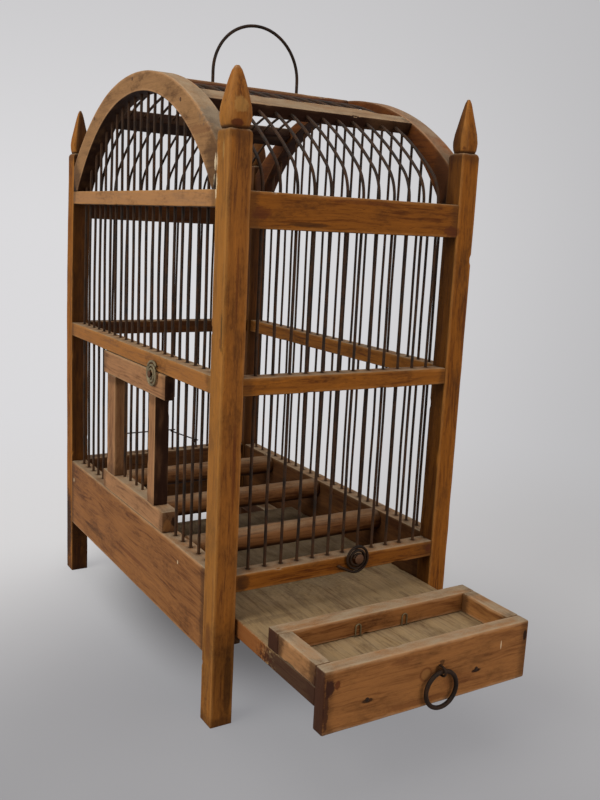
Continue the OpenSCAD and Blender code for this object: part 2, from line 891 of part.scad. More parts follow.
// Flat winding in the XY plane, domed towards +Z: it winds outwards clockwise from its eye
// and may end in a straight tail. The rim ends at the given angle.
function winding_radius(share, eye, rim) = eye + (rim - eye) * share;
function winding_points(eye, rim, turns, dome, end_angle) =
    let (steps = round(turns * winding_steps))
    [for (i = [0 : steps])
        let (share = i / steps, angle = end_angle + 360 * turns * (1 - share),
            r = winding_radius(share, eye, rim))
        [r * cos(angle), r * sin(angle), dome * (1 - share)]];
function tail_points(rim, length, end_angle) =
    [for (share = [0.25 : 0.25 : 1])
        [rim * cos(end_angle) + length * share * sin(end_angle),
            rim * sin(end_angle) - length * share * cos(end_angle), 0]];

button_path = winding_points(button_eye, button_rim, button_turns, winding_dome, button_end_angle);
latch_path = concat(
    winding_points(latch_eye, latch_rim, latch_turns, winding_dome, latch_end_angle),
    tail_points(latch_rim, latch_tail, latch_end_angle)
);

module door_button() {
    echo(least_gap_of_door_button = least_gap(button_path, button_wire, apart_steps));
    color(wire_brass) in_place()
        translate([-winding_gap - button_wire / 2, button_y, button_z])
            rotate([90, 0, -90])
                wire_along(button_path, button_wire, [0, 0, 1]);
}

module drawer_latch() {
    echo(least_gap_of_drawer_latch = least_gap(latch_path, latch_wire, apart_steps));
    color(wire_dark) in_place()
        translate([latch_at, -winding_gap - latch_wire / 2, latch_z])
            rotate([90, 0, 0])
                wire_along(latch_path, latch_wire, [0, 0, 1]);
}

// Thin wire laced along the inside of the back wires: one turn round the 3rd, the 7th and
// the 9th wire, level between the first two and then running down.
function lacing_turn(number, z, fall) =
    let (x = end_wire_x(number), y = cage_depth - wire_inset)
    [for (i = [0 : lacing_steps])
        let (share = i / lacing_steps, angle = -90 + 360 * share)
        [x + lacing_radius * cos(angle), y + lacing_radius * sin(angle), z + fall * (share - 0.5)]];

lacing_path = concat(
    lacing_turn(3, lacing_z, lacing_rise),
    lacing_turn(7, lacing_z, -lacing_rise),
    lacing_turn(9, lacing_z - lacing_drop, -lacing_rise)
);

module lacing_wire() {
    echo(least_gap_of_lacing_wire = least_gap(lacing_path, lacing_wire_d, apart_steps));
    color(wire_dark) in_place() wire_along(lacing_path, lacing_wire_d, [0, 0, 1]);
}

// ---------- nails ----------

// Hole for a nail that is driven along -Z from the origin.
module nail_hole(depth) {
    translate([0, 0, -depth]) cylinder(h = depth + cut, d = nail_d + 2 * nail_fit);
}

// Round-headed nail: its point is at -depth and its head's underside stands at rise.
module domed_nail(depth, rise, head) {
    dome_radius = (pow(head / 2, 2) + pow(head_thickness, 2)) / (2 * head_thickness);
    translate([0, 0, -depth]) cylinder(h = depth + rise, d = nail_d);
    translate([0, 0, rise])
        intersection() {
            translate([0, 0, head_thickness - dome_radius]) sphere(r = dome_radius);
            cylinder(h = head_thickness, d = head + cut);
        }
}

module drawer_latch_nail() {
    color(wire_dark) in_place()
        translate([latch_at, 0, latch_z])
            rotate([90, 0, 0]) domed_nail(nail_seat, latch_rise, latch_head);
}

module door_button_nail() {
    color(wire_dark) in_place()
        translate([0, button_y, button_z])
            rotate([0, -90, 0]) domed_nail(nail_seat, button_rise, button_head);
}

module flush_nail(length, grow) {
    translate([0, 0, -length]) cylinder(h = length, d = nail_d + 2 * grow);
    translate([0, 0, -long_head_thickness])
        cylinder(h = long_head_thickness + (grow > 0 ? cut : 0), d = long_nail_head + 2 * grow);
}

module roof_nails_left(grow) {
    for (place = roof_nail_places)
        translate([0, ridge_y + place[0], place[1]])
            rotate([0, -90, 0]) flush_nail(long_nail, grow);
}

module roof_nail_holes() {
    roof_nails_left(nail_fit);
}

module roof_nails() {
    color(wire_dark) in_place() {
        roof_nails_left(0);
        across_width() roof_nails_left(0);
    }
}

// ---------- perches and runners ----------

// Perch between the base boards, with its ends whittled down to fit their sockets.
module perch(y) {
    color(wood_pale) in_place()
        translate([cage_width / 2, y, base_top - perch_drop])
            rotate([0, 90, 0]) {
                cylinder(h = cage_width - 2 * base_thickness, d = perch_d, center = true);
                cylinder(
                    h = cage_width - 2 * (base_thickness - perch_seat),
                    d = perch_end_d,
                    center = true
                );
            }
}

module perch_front() {
    perch(perch_front_at);
}

module perch_middle() {
    perch(perch_middle_at);
}

module perch_back() {
    perch(perch_back_at);
}

module drawer_runner() {
    translate([base_thickness, post_side, leg_height])
        cube([runner_width, cage_depth - 2 * post_side, runner_top - leg_height]);
}

module drawer_runner_left() {
    color(wood_dark) in_place() drawer_runner();
}

module drawer_runner_right() {
    color(wood_dark) in_place() across_width() drawer_runner();
}

// ---------- door ----------

// Door rail seen from above: square near end, far end rounded round the hinge wire.
module door_rail_outline() {
    translate([0, door_near_y])
        square([door_thickness, door_far_y - door_near_y - door_end_radius]);
    translate([door_end_radius, door_near_y])
        square([door_thickness - 2 * door_end_radius, door_far_y - door_near_y]);
    for (x = [door_end_radius, door_thickness - door_end_radius])
        translate([x, door_far_y - door_end_radius]) circle(r = door_end_radius);
}

module door_rail(z, height) {
    difference() {
        translate([0, 0, z]) linear_extrude(height) door_rail_outline();
        translate([wire_inset, hinge_y, z - cut])
            cylinder(h = height + 2 * cut, r = cage_wire / 2 + hinge_fit);
    }
}

module stile_tenon(y, width, z, grow) {
    translate([
        (stile_thickness - stile_tenon_thickness) / 2 - grow,
        y + stile_tenon_shoulder - grow,
        z
    ])
        cube([
            stile_tenon_thickness + 2 * grow,
            width - 2 * stile_tenon_shoulder + 2 * grow,
            stile_tenon + (grow > 0 ? tenon_end_fit : 0)
        ]);
}

module stile_mortises(z) {
    stile_tenon(near_stile_y, near_stile, z, tenon_side_fit);
    stile_tenon(far_stile_y, far_stile, z, tenon_side_fit);
}

function in_door(number) =
    side_wire_y(number) > near_stile_y + near_stile + door_wire_margin
    && side_wire_y(number) < far_stile_y - cage_wire / 2;

module door_wire_holes(z) {
    for (i = [1 : side_wires])
        if (in_door(i)) side_wire_hole(i, z, door_wire_seat + cut);
}

module door_top_rail() {
    color(wood_pale) in_place()
        difference() {
            door_rail(door_opening_top, door_top_height);
            stile_mortises(door_opening_top);
            door_wire_holes(door_opening_top - cut);
            translate([0, button_y, button_z]) rotate([0, -90, 0]) nail_hole(nail_seat);
        }
}

module door_bottom_rail() {
    color(wood_pale) in_place()
        difference() {
            door_rail(door_z, door_bottom_height);
            stile_mortises(door_opening_z - stile_tenon - tenon_end_fit);
            door_wire_holes(door_opening_z - door_wire_seat);
        }
}

module door_stile(y, width) {
    translate([0, y, door_opening_z])
        cube([stile_thickness, width, door_opening_top - door_opening_z]);
    stile_tenon(y, width, door_opening_top, 0);
    stile_tenon(y, width, door_opening_z - stile_tenon, 0);
}

module door_stile_near() {
    color(wood_warm) in_place() door_stile(near_stile_y, near_stile);
}

module door_stile_far() {
    color(wood_warm) in_place() door_stile(far_stile_y, far_stile);
}

module door_wires() {
    color(wire_dark) in_place()
        for (i = [1 : side_wires])
            if (in_door(i))
                translate([wire_inset, side_wire_y(i), door_opening_z - door_wire_seat])
                    cylinder(
                        h = door_opening_top - door_opening_z + 2 * door_wire_seat,
                        d = cage_wire
                    );
}

// ---------- drawer ----------

module drawer_floor() {
    color(wood_grey) in_place()
        difference() {
            translate([drawer_x, box_y, floor_z])
                cube([drawer_width, floor_back_y - box_y, floor_thickness]);
            drawer_front_nails(nail_fit);
            small_staples(small_fit);
        }
}

module drawer_front() {
    color(wood_warm) in_place()
        difference() {
            translate([drawer_x, front_face_y, front_z])
                cube([drawer_width, front_thickness, drawer_top - front_z]);
            drawer_front_nails(nail_fit);
            ring_staple_shape(small_fit);
        }
}

module drawer_box_back() {
    color(wood_warm) in_place()
        translate([drawer_x, box_back_y, floor_top])
            cube([drawer_width, box_back, wall_height]);
}

module drawer_box_side() {
    translate([drawer_x, box_y, floor_top])
        cube([box_side, box_back_y - box_y, wall_height]);
}

module drawer_side_left() {
    color(wood_warm) in_place() drawer_box_side();
}

module drawer_side_right() {
    color(wood_warm) in_place() across_width() drawer_box_side();
}

// Nails through the drawer front into the floor's edge.
module drawer_front_nails(grow) {
    for (x = [drawer_x + drawer_nail_from_left, drawer_x + drawer_width - drawer_nail_from_right])
        translate([x, front_face_y, floor_z + drawer_nail_rise])
            rotate([90, 0, 0]) flush_nail(long_nail, grow);
}

module drawer_nails() {
    color(wire_dark) in_place() drawer_front_nails(0);
}

// Small staple standing in the floor against the box's back wall.
module small_staples(grow) {
    straight = small_staple_height - small_staple_width / 2 - small_wire / 2;
    for (i = [0, 1])
        translate([
            drawer_x + small_staple_first + small_staple_pitch * i,
            small_staple_y,
            floor_top
        ]) {
            for (side = [-1, 1])
                translate([side * small_staple_width / 2, 0, -small_staple_seat])
                    cylinder(h = small_staple_seat + straight, d = small_wire + 2 * grow, $fn = 24);
            translate([0, 0, straight])
                rotate([90, 0, 0])
                    rotate_extrude(angle = 180)
                        translate([small_staple_width / 2, 0])
                            circle(d = small_wire + 2 * grow, $fn = 24);
        }
}

module drawer_staples() {
    color(wire_dark) in_place() small_staples(0);
}

// Eye of the pull: two legs one over the other, joined by a half circle round the ring.
module ring_staple_shape(grow) {
    translate([staple_x, ring_y, staple_z]) {
        rotate([0, 0, 90])
            rotate([90, 0, 0])
                rotate([0, 0, 90])
                    rotate_extrude(angle = 180)
                        translate([eye_radius, 0]) circle(d = staple_wire + 2 * grow, $fn = 32);
        for (side = [-1, 1])
            translate([0, 0, side * eye_radius])
                rotate([-90, 0, 0])
                    cylinder(
                        h = ring_standoff + staple_seat,
                        d = staple_wire + 2 * grow,
                        $fn = 32
                    );
    }
}

module ring_staple() {
    color(wire_dark) in_place() ring_staple_shape(0);
}

module pull_ring() {
    color(wire_dark) in_place()
        translate([staple_x, ring_y, staple_z - ring_radius])
            rotate([90, 0, 0])
                rotate_extrude($fn = smooth)
                    translate([ring_radius, 0]) circle(d = ring_wire);
}

corner_post_front_left();
corner_post_front_right();
corner_post_back_left();
corner_post_back_right();
base_board_left();
base_board_right();
base_board_back();
front_bottom_rail();
front_middle_rail();
front_upper_rail();
back_middle_rail();
back_upper_rail();
left_middle_rail();
right_middle_rail();
left_upper_rail();
right_upper_rail();
arch_left();
arch_right();
roof_batten_front();
roof_batten_back();
crown_board();
hanging_bail();
roof_nails();
front_wires();
back_wires();
left_wires();
right_wires();
door_hinge_wire();
lacing_wire();
perch_front();
perch_middle();
perch_back();
drawer_runner_left();
drawer_runner_right();
drawer_latch_nail();
door_top_rail();
door_bottom_rail();
door_stile_near();
door_stile_far();
door_wires();
door_button_nail();
door_button();
drawer_latch();
drawer_floor();
drawer_front();
drawer_box_back();
drawer_side_left();
drawer_side_right();
drawer_nails();
drawer_staples();
ring_staple();
pull_ring();
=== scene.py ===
"""Canary breeding cage: hand-worn wood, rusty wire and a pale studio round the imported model.

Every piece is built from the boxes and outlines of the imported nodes, in metres, in their frame.
"""

import json
import math
import random

import bpy
import numpy as np
from bpy.props import FloatProperty, FloatVectorProperty, PointerProperty
from mathutils import Matrix, Vector, noise

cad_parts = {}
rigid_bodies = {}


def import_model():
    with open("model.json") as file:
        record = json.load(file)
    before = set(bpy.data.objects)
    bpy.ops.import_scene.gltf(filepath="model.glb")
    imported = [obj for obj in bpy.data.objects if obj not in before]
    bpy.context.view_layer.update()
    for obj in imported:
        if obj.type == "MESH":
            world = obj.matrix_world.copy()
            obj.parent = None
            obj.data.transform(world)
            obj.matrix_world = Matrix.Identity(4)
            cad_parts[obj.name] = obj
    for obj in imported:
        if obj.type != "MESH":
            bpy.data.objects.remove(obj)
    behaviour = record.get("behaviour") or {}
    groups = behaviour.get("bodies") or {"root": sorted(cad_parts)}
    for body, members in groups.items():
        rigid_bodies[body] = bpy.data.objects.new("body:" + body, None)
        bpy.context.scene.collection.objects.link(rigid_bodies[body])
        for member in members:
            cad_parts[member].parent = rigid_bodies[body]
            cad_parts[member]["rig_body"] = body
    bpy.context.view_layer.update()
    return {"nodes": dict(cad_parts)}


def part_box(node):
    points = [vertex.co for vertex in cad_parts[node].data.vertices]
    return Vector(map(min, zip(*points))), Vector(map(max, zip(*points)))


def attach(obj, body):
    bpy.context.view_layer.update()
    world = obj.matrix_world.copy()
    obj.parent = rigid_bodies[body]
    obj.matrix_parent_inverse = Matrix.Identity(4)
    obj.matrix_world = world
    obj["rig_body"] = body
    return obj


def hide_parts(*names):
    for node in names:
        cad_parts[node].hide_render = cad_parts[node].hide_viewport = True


bl_info = {
    "name": "Canary breeding cage",
    "version": (1, 0, 0),
    "blender": (4, 5, 0),
    "location": "View3D > Sidebar > Cage",
    "description": "Worn wood, rusty wire and a studio for a canary breeding cage",
    "category": "Object",
}

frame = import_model()
MM = 0.001


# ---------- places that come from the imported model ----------


def node_points(node):
    """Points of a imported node's mesh, one row each, in metres."""
    mesh = frame["nodes"][node].data
    points = np.zeros(len(mesh.vertices) * 3)
    mesh.vertices.foreach_get("co", points)
    return points.reshape(-1, 3)


POST_LOW, POST_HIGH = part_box("corner_post_front_left")
FAR_LOW, FAR_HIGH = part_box("corner_post_back_right")
POST_SIDE = POST_HIGH.x - POST_LOW.x
WIRE_INSET = POST_SIDE / 2
RIDGE_Y = (POST_LOW.y + FAR_HIGH.y) / 2
RAIL_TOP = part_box("left_upper_rail")[1].z
MIDDLE_Z = (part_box("left_middle_rail")[0].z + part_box("left_middle_rail")[1].z) / 2
ARCH_CROWN_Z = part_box("arch_right")[1].z
BATTEN_THICKNESS = 9 * MM
BATTEN_WIDTH = 18 * MM
CROWN_SEAT = 8 * MM
BEND_START = 0.2 * MM
CLOSE = 0.2 * MM
CAGE_MIDDLE = Vector(((POST_LOW.x + FAR_HIGH.x) / 2, RIDGE_Y, 0))


def place(x, y, z):
    """Point given in millimetres from the front left post's outer corner, on the ground."""
    return Vector((POST_LOW.x + x * MM, POST_LOW.y + y * MM, z * MM))


def smooth_step(value, low, high):
    share = np.clip((value - low) / (high - low), 0.0, 1.0)
    return share * share * (3 - 2 * share)


def strands(node, axis):
    """Box of each wire of a node, in order along an axis across the wires."""
    points = node_points(node)
    points = points[np.argsort(points[:, axis])]
    gaps = np.nonzero(np.diff(points[:, axis]) > 2 * MM)[0] + 1
    return [(wire.min(axis=0), wire.max(axis=0), wire) for wire in np.split(points, gaps)]


# ---------- uneven surfaces ----------

EDGE_NEAR = 0.8 * MM
EDGE_WORN = 2.4 * MM
EDGE_FADE = 2.6 * MM
NICK_DEPTH = 0.9 * MM
JOINT_REACH = 9 * MM


def rough_noise(point, size, seed):
    """Smooth noise from -1 to 1 whose bumps are about the given size across."""
    shifted = Vector(point) / size + Vector((seed * 7.31, seed * 3.77, seed * 5.93))
    return noise.noise(shifted)


def dented(point, size, seed):
    """The same noise as a share from 0 to 1."""
    return 0.5 + 0.5 * rough_noise(point, size, seed)


def grain_shift(seed):
    """Where in the wood's figure a piece starts, so that no two pieces look alike."""
    return np.array([seed * 137.0, seed * 61.0, seed * 29.0])


def settle(points, lean):
    """Frame points after the back left corner has warped forward by the given lean."""
    back = smooth_step(points[:, 1], POST_LOW.y + 0.55 * (FAR_HIGH.y - POST_LOW.y), FAR_HIGH.y)
    high = smooth_step(points[:, 2], MIDDLE_Z, ARCH_CROWN_Z)
    left = 1 - smooth_step(points[:, 0], POST_LOW.x, FAR_HIGH.x)
    moved = points.copy()
    moved[:, 1] -= lean * back * high * left
    return moved


class Shell:
    """Mesh being built, with what the finishes read at each point: the grain's own
    coordinates in millimetres, nearness to a worn edge and nearness to a joint."""

    def __init__(self):
        self.points, self.grain, self.edge, self.joint, self.faces = [], [], [], [], []

    def ring(self, points, grain, joint=0.0, edge=None):
        """Adds one section of a form and gives back its first point's number."""
        start = len(self.points)
        self.points.extend(points)
        self.grain.extend(grain)
        self.edge.extend(edge or [0.0] * len(points))
        self.joint.extend([joint] * len(points))
        return start

    def loft(self, rings, closed=False):
        """Skins a row of sections and caps its ends, or joins them."""
        count = rings[1] - rings[0]
        for first, second in zip(rings, rings[1:] + rings[:1] if closed else rings[1:]):
            for i in range(count):
                j = (i + 1) % count
                self.faces.append((first + i, first + j, second + j, second + i))
        if not closed:
            self.cap(rings[0], count, False)
            self.cap(rings[-1], count, True)

    def cap(self, start, count, forward):
        middle = len(self.points)
        span = range(start, start + count)
        for values in (self.points, self.grain):
            values.append(np.mean([values[i] for i in span], axis=0))
        self.edge.append(0.0)
        self.joint.append(max(self.joint[i] for i in span))
        for i in range(count):
            a, b = start + i, start + (i + 1) % count
            self.faces.append((middle, a, b) if forward else (middle, b, a))


def section(width, height, radius, across, up):
    """Rectangle with round corners about the origin: its points, outward directions, nearness
    to a corner and each point's corner, with the given numbers of spans on its flats."""
    rows = []
    corners = ((1, -1, -90), (1, 1, 0), (-1, 1, 90), (-1, -1, 180))
    for number, ((side, top, angle), spans) in enumerate(zip(corners, (up, across, up, across))):
        middle = np.array([side * (width / 2 - radius), top * (height / 2 - radius)])
        for step in (0, 30, 60, 90):
            turn = math.radians(angle + step)
            out = np.array([math.cos(turn), math.sin(turn)])
            rows.append((middle + radius * out, out, 1.0, number))
        length = (height if number % 2 == 0 else width) - 2 * radius
        run = np.array([-out[1], out[0]])
        start = middle + radius * out
        near = min(EDGE_NEAR, 0.15 * length)
        worn = min(EDGE_WORN, 0.32 * length)
        flat = [near, worn, *(worn + (length - 2 * worn) * i / spans for i in range(1, spans)),
                length - worn, length - near]
        for reach in flat:
            away = min(reach, length - reach)
            rows.append((start + run * reach, out, max(0.0, 1 - away / EDGE_FADE), -1))
    return rows


def stations(length, round_off, pitch, marks):
    """Places along a bar as (distance, how far the bar is drawn in there)."""
    ends = [(round_off * (1 - math.cos(a)), round_off * (1 - math.sin(a)))
            for a in (0, math.pi / 4, math.pi / 2)]
    first, second = round_off + EDGE_NEAR, round_off + EDGE_WORN
    count = max(2, round((length - 2 * second) / pitch))
    middle = [second + (length - 2 * second) * i / count for i in range(count + 1)]
    middle += [m for m in marks if second < m < length - second]
    inside = sorted({first, *middle, length - first})
    return ends + [(s, 0.0) for s in inside] + [(length - s, d) for s, d in reversed(ends)]


def nicks_for(seed, length, count):
    """Small losses along the four long edges, as (corner, place, half length, depth)."""
    pick = random.Random(seed)
    return [(pick.randrange(4), length * pick.uniform(0.08, 0.92), pick.uniform(2, 7) * MM,
             NICK_DEPTH * pick.uniform(0.4, 1.0)) for _ in range(count)]


def bar(shell, size, matrix, seed, radius=None, end_radius=0.5 * MM, pitch=5 * MM, nicks=3,
        trim=None):
    """Bar of the given length, width and height. Its matrix puts its middle and its own axes,
    the length along X, into the frame. It is only ever cut back from its true size."""
    shape = bpy.context.scene.cage_shape
    radius, wave = radius or shape.edge_radius, shape.tool_marks
    length, width, height = size
    across, up = (max(2, round(side / (7 * MM))) for side in (width, height))
    losses = nicks_for(seed, length, nicks)
    marks = [at + share * half for _, at, half, _ in losses for share in (-1, -0.5, 0, 0.5, 1)]
    rings = []
    for reach, drawn in stations(length, end_radius, pitch, marks):
        worn = radius * (1 + 0.5 * noise.noise(Vector((reach * 40, seed * 3.1, 0))))
        near, far, below, above = trim(reach) if trim else (0, 0, 0, 0)
        wide = width - 2 * drawn - near - far
        tall = height - 2 * drawn - below - above
        shift = np.array([(near - far) / 2, (below - above) / 2])
        points, grains, edges = [], [], []
        rows = section(wide, tall, min(worn, wide / 3, tall / 3), across, up)
        for spot, out, edge, corner in rows:
            local = np.array([reach - length / 2, *(spot + shift)])
            dent = wave * dented(local, 22 * MM, seed)
            dent += 0.35 * wave * dented(local, 5 * MM, seed + 9)
            for at, spot_reach, half, depth in losses:
                if corner == at:
                    dent += depth * max(0.0, 1 - ((reach - spot_reach) / half) ** 2)
            local[1:] -= out * dent
            points.append(np.array(matrix @ Vector(local)))
            grains.append(local / MM + grain_shift(seed))
            edges.append(edge)
        end = max(0.0, 1 - min(reach, length - reach) / JOINT_REACH)
        rings.append(shell.ring(points, grains, end, edges))
    shell.loft(rings)


def axes_matrix(middle, along, side):
    """Matrix of a bar whose length runs along one direction and whose width along another."""
    along, side = Vector(along).normalized(), Vector(side).normalized()
    turned = Matrix((along, side, along.cross(side))).transposed().to_4x4()
    return Matrix.Translation(middle) @ turned


LONG_WAYS = {
    "x": ((1, 0, 0), (0, 1, 0), (0, 1, 2)),
    "y": ((0, 1, 0), (0, 0, 1), (1, 2, 0)),
    "z": ((0, 0, 1), (1, 0, 0), (2, 0, 1)),
}


def box_bar(shell, low, high, way, seed, **values):
    """Bar that fills a box, with its length along x, y or z."""
    along, side, order = LONG_WAYS[way]
    size = [(high - low)[i] for i in order]
    bar(shell, size, axes_matrix((low + high) / 2, along, side), seed, **values)


def between_posts(node, way):
    """Box of a rail or board without the tenons in the posts."""
    low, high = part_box(node)
    setattr(low, way, getattr(POST_HIGH, way))
    setattr(high, way, getattr(FAR_LOW, way))
    return low, high


def line(start, end, steps):
    """Points on the straight from one place to another, with both."""
    start, end = np.array(start, float), np.array(end, float)
    return [start + (end - start) * i / steps for i in range(steps + 1)]


def arc(middle, radius, plane, first, last, steps):
    """Points on an arc between two angles, with both ends; plane names its two axes."""
    points = line(middle, middle, steps)
    for i, point in enumerate(points):
        angle = first + (last - first) * i / steps
        point[plane] += radius * np.array([math.cos(angle), math.sin(angle)])
    return points


SIDE_ON, FACE_ON, FROM_ABOVE = [1, 2], [0, 2], [0, 1]


def joined(path, *parts):
    """One path from parts that each start where the part before ends."""
    return path + [point for part in parts for point in part[1:]]


def tube(shell, path, radius, seed, sides=10, closed=False, rough=0.05):
    """Round wire along a path, never thicker than its radius."""
    path = [np.array(p, float) for p in path]
    count = len(path)
    side = None
    rings = []
    for i, point in enumerate(path):
        ahead = path[(i + 1) % count] if closed else path[min(i + 1, count - 1)]
        behind = path[i - 1] if closed else path[max(i - 1, 0)]
        along = (ahead - behind) / np.linalg.norm(ahead - behind)
        if side is None:
            side = np.cross(along, [0.31, 0.87, 0.11] if abs(along[2]) > 0.5 else [0, 0, 1])
        side = side - along * side.dot(along)
        side /= np.linalg.norm(side)
        over = np.cross(along, side)
        points, grains = [], []
        for k in range(sides):
            turn = 2 * math.pi * k / sides
            out = math.cos(turn) * side + math.sin(turn) * over
            thin = 1 - dented(point + out * radius, 3 * MM, seed)
            points.append(point + out * radius * (1 - rough * thin))
            grains.append((point + out * radius) / MM + np.array([seed * 31.0, 0, 0]))
        near_end = 0.0 if closed else max(0.0, 1 - min(i, count - 1 - i) / 3)
        rings.append(shell.ring(points, grains, near_end))
    shell.loft(rings, closed)


def lathe(shell, profile, matrix, seed, sides=20, rough=0.15 * MM):
    """Turned form about its own X from (distance, radius) pairs."""
    rings = []
    for reach, radius in profile:
        points, grains = [], []
        for k in range(sides):
            turn = 2 * math.pi * k / sides
            out = Vector((0, math.cos(turn), math.sin(turn)))
            local = Vector((reach, 0, 0)) + out * radius
            local -= out * min(rough * dented(local, 3 * MM, seed), radius * 0.5)
            points.append(np.array(matrix @ local))
            grains.append(np.array(local) / MM + np.array([seed * 31.0, 0, 0]))
        rings.append(shell.ring(points, grains))
    shell.loft(rings)


def publish(shell, node, slot_name, tone=0.0, material=None):
    """Turns a shell into a piece that stands for its node and rides on the node's body."""
    points = np.array(shell.points)
    if frame["nodes"][node]["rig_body"] == "frame":
        points = settle(points, bpy.context.scene.cage_shape.post_lean)
    mesh = bpy.data.meshes.new("worn_" + node)
    mesh.from_pydata(points.tolist(), [], shell.faces)
    for label, kind, key, values in (
        ("grain", "FLOAT_VECTOR", "vector", np.array(shell.grain).ravel()),
        ("edge", "FLOAT", "value", np.array(shell.edge)),
        ("joint", "FLOAT", "value", np.array(shell.joint)),
        ("tone", "FLOAT", "value", np.full(len(points), tone)),
    ):
        layer = mesh.attributes.new(label, kind, "POINT")
        layer.data.foreach_set(key, values.astype(np.float32))
    mesh.validate()
    mesh.shade_smooth()
    mesh.materials.append(finish(material or slot_name))
    piece = bpy.data.objects.new(mesh.name, mesh)
    bpy.context.scene.collection.objects.link(piece)
    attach(piece, frame["nodes"][node]["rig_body"])
    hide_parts(node)


# ---------- shader nodes ----------


class Net:
    """Short words for the nodes of one tree."""

    def __init__(self, tree):
        self.tree = tree
        self.column = 0

    def node(self, kind, **settings):
        made = self.tree.nodes.new(kind)
        self.column += 1
        made.location = (self.column % 12 * 180 - 1000, -(self.column // 12) * 220)
        for key, value in settings.items():
            setattr(made, key, value)
        return made

    def feed(self, socket, value):
        if isinstance(value, bpy.types.NodeSocket):
            self.tree.links.new(value, socket)
        elif value is not None:
            socket.default_value = value

    def filled(self, made, *values):
        """Feeds a node's first inputs in their order."""
        for socket, value in zip(made.inputs, values):
            self.feed(socket, value)
        return made

    def math(self, operation, a, b=None, c=None, clamp=False):
        made = self.node("ShaderNodeMath", operation=operation, use_clamp=clamp)
        return self.filled(made, a, b, c).outputs[0]

    def vector(self, operation, a, b=None):
        made = self.filled(self.node("ShaderNodeVectorMath", operation=operation), a, b)
        single = operation in ("LENGTH", "DOT_PRODUCT", "DISTANCE")
        return made.outputs["Value" if single else "Vector"]

    def scale(self, vector, number):
        made = self.filled(self.node("ShaderNodeVectorMath", operation="SCALE"), vector)
        self.feed(made.inputs["Scale"], number)
        return made.outputs[0]

    def mix(self, share, a, b):
        made = self.node("ShaderNodeMix", data_type="RGBA")
        for number, value in ((0, share), (6, a), (7, b)):
            self.feed(made.inputs[number], value)
        return made.outputs[2]

    def shaders(self, share, a, b):
        return self.filled(self.node("ShaderNodeMixShader"), share, a, b).outputs[0]

    def noise(self, vector, scale, detail=3.0, roughness=0.55, output="Fac"):
        made = self.node("ShaderNodeTexNoise")
        for key, value in (("Vector", vector), ("Scale", scale), ("Detail", detail),
                           ("Roughness", roughness)):
            self.feed(made.inputs[key], value)
        return made.outputs[output]

    def streaks(self, grain, along, across, detail, roughness=0.55, output="Fac"):
        """Noise whose patches are drawn out along the grain."""
        stretched = self.vector("MULTIPLY", grain, (along, across, across))
        return self.noise(stretched, 1.0, detail, roughness, output)

    def ramp(self, value, low, high, to_low=0.0, to_high=1.0):
        made = self.node("ShaderNodeMapRange", interpolation_type="SMOOTHSTEP")
        return self.filled(made, value, low, high, to_low, to_high).outputs[0]

    def channel(self, vector, name):
        return self.filled(self.node("ShaderNodeSeparateXYZ"), vector).outputs[name]

    def attribute(self, name, output="Fac"):
        return self.node("ShaderNodeAttribute", attribute_name=name).outputs[output]

    def bump(self, height, strength, distance):
        made = self.node("ShaderNodeBump")
        for key, value in (("Strength", strength), ("Distance", distance), ("Height", height)):
            self.feed(made.inputs[key], value)
        return made.outputs[0]

    def seen(self):
        """1 for what the camera sees, also in a mirror, and 0 for the light that objects get."""
        path = self.node("ShaderNodeLightPath")
        return self.math("MAXIMUM", path.outputs["Is Camera Ray"], path.outputs["Is Glossy Ray"])

    def use(self, group, **values):
        made = self.node("ShaderNodeGroup")
        made.node_tree = group
        for key, value in values.items():
            self.feed(made.inputs[key], value)
        return made.outputs


SOCKETS = {"value": "NodeSocketFloat", "colour": "NodeSocketColor", "vector": "NodeSocketVector"}


def group(name, inputs, outputs):
    """Empty shader group with named sockets: the net, its input sockets and its output node.
    Each of inputs and outputs gives its kinds, and for each kind the names."""
    tree = bpy.data.node_groups.new(name, "ShaderNodeTree")
    for way, sockets in (("INPUT", inputs), ("OUTPUT", outputs)):
        for kind, labels in sockets.items():
            for label in labels.split():
                tree.interface.new_socket(name=label, in_out=way, socket_type=SOCKETS[kind])
    net = Net(tree)
    return net, net.node("NodeGroupInput").outputs, net.node("NodeGroupOutput").inputs


def once(maker):
    """Runs a group's or a material's maker one time and keeps what it made."""
    kept = {}

    def get(*key):
        if key not in kept:
            kept[key] = maker(*key)
        return kept[key]

    return get


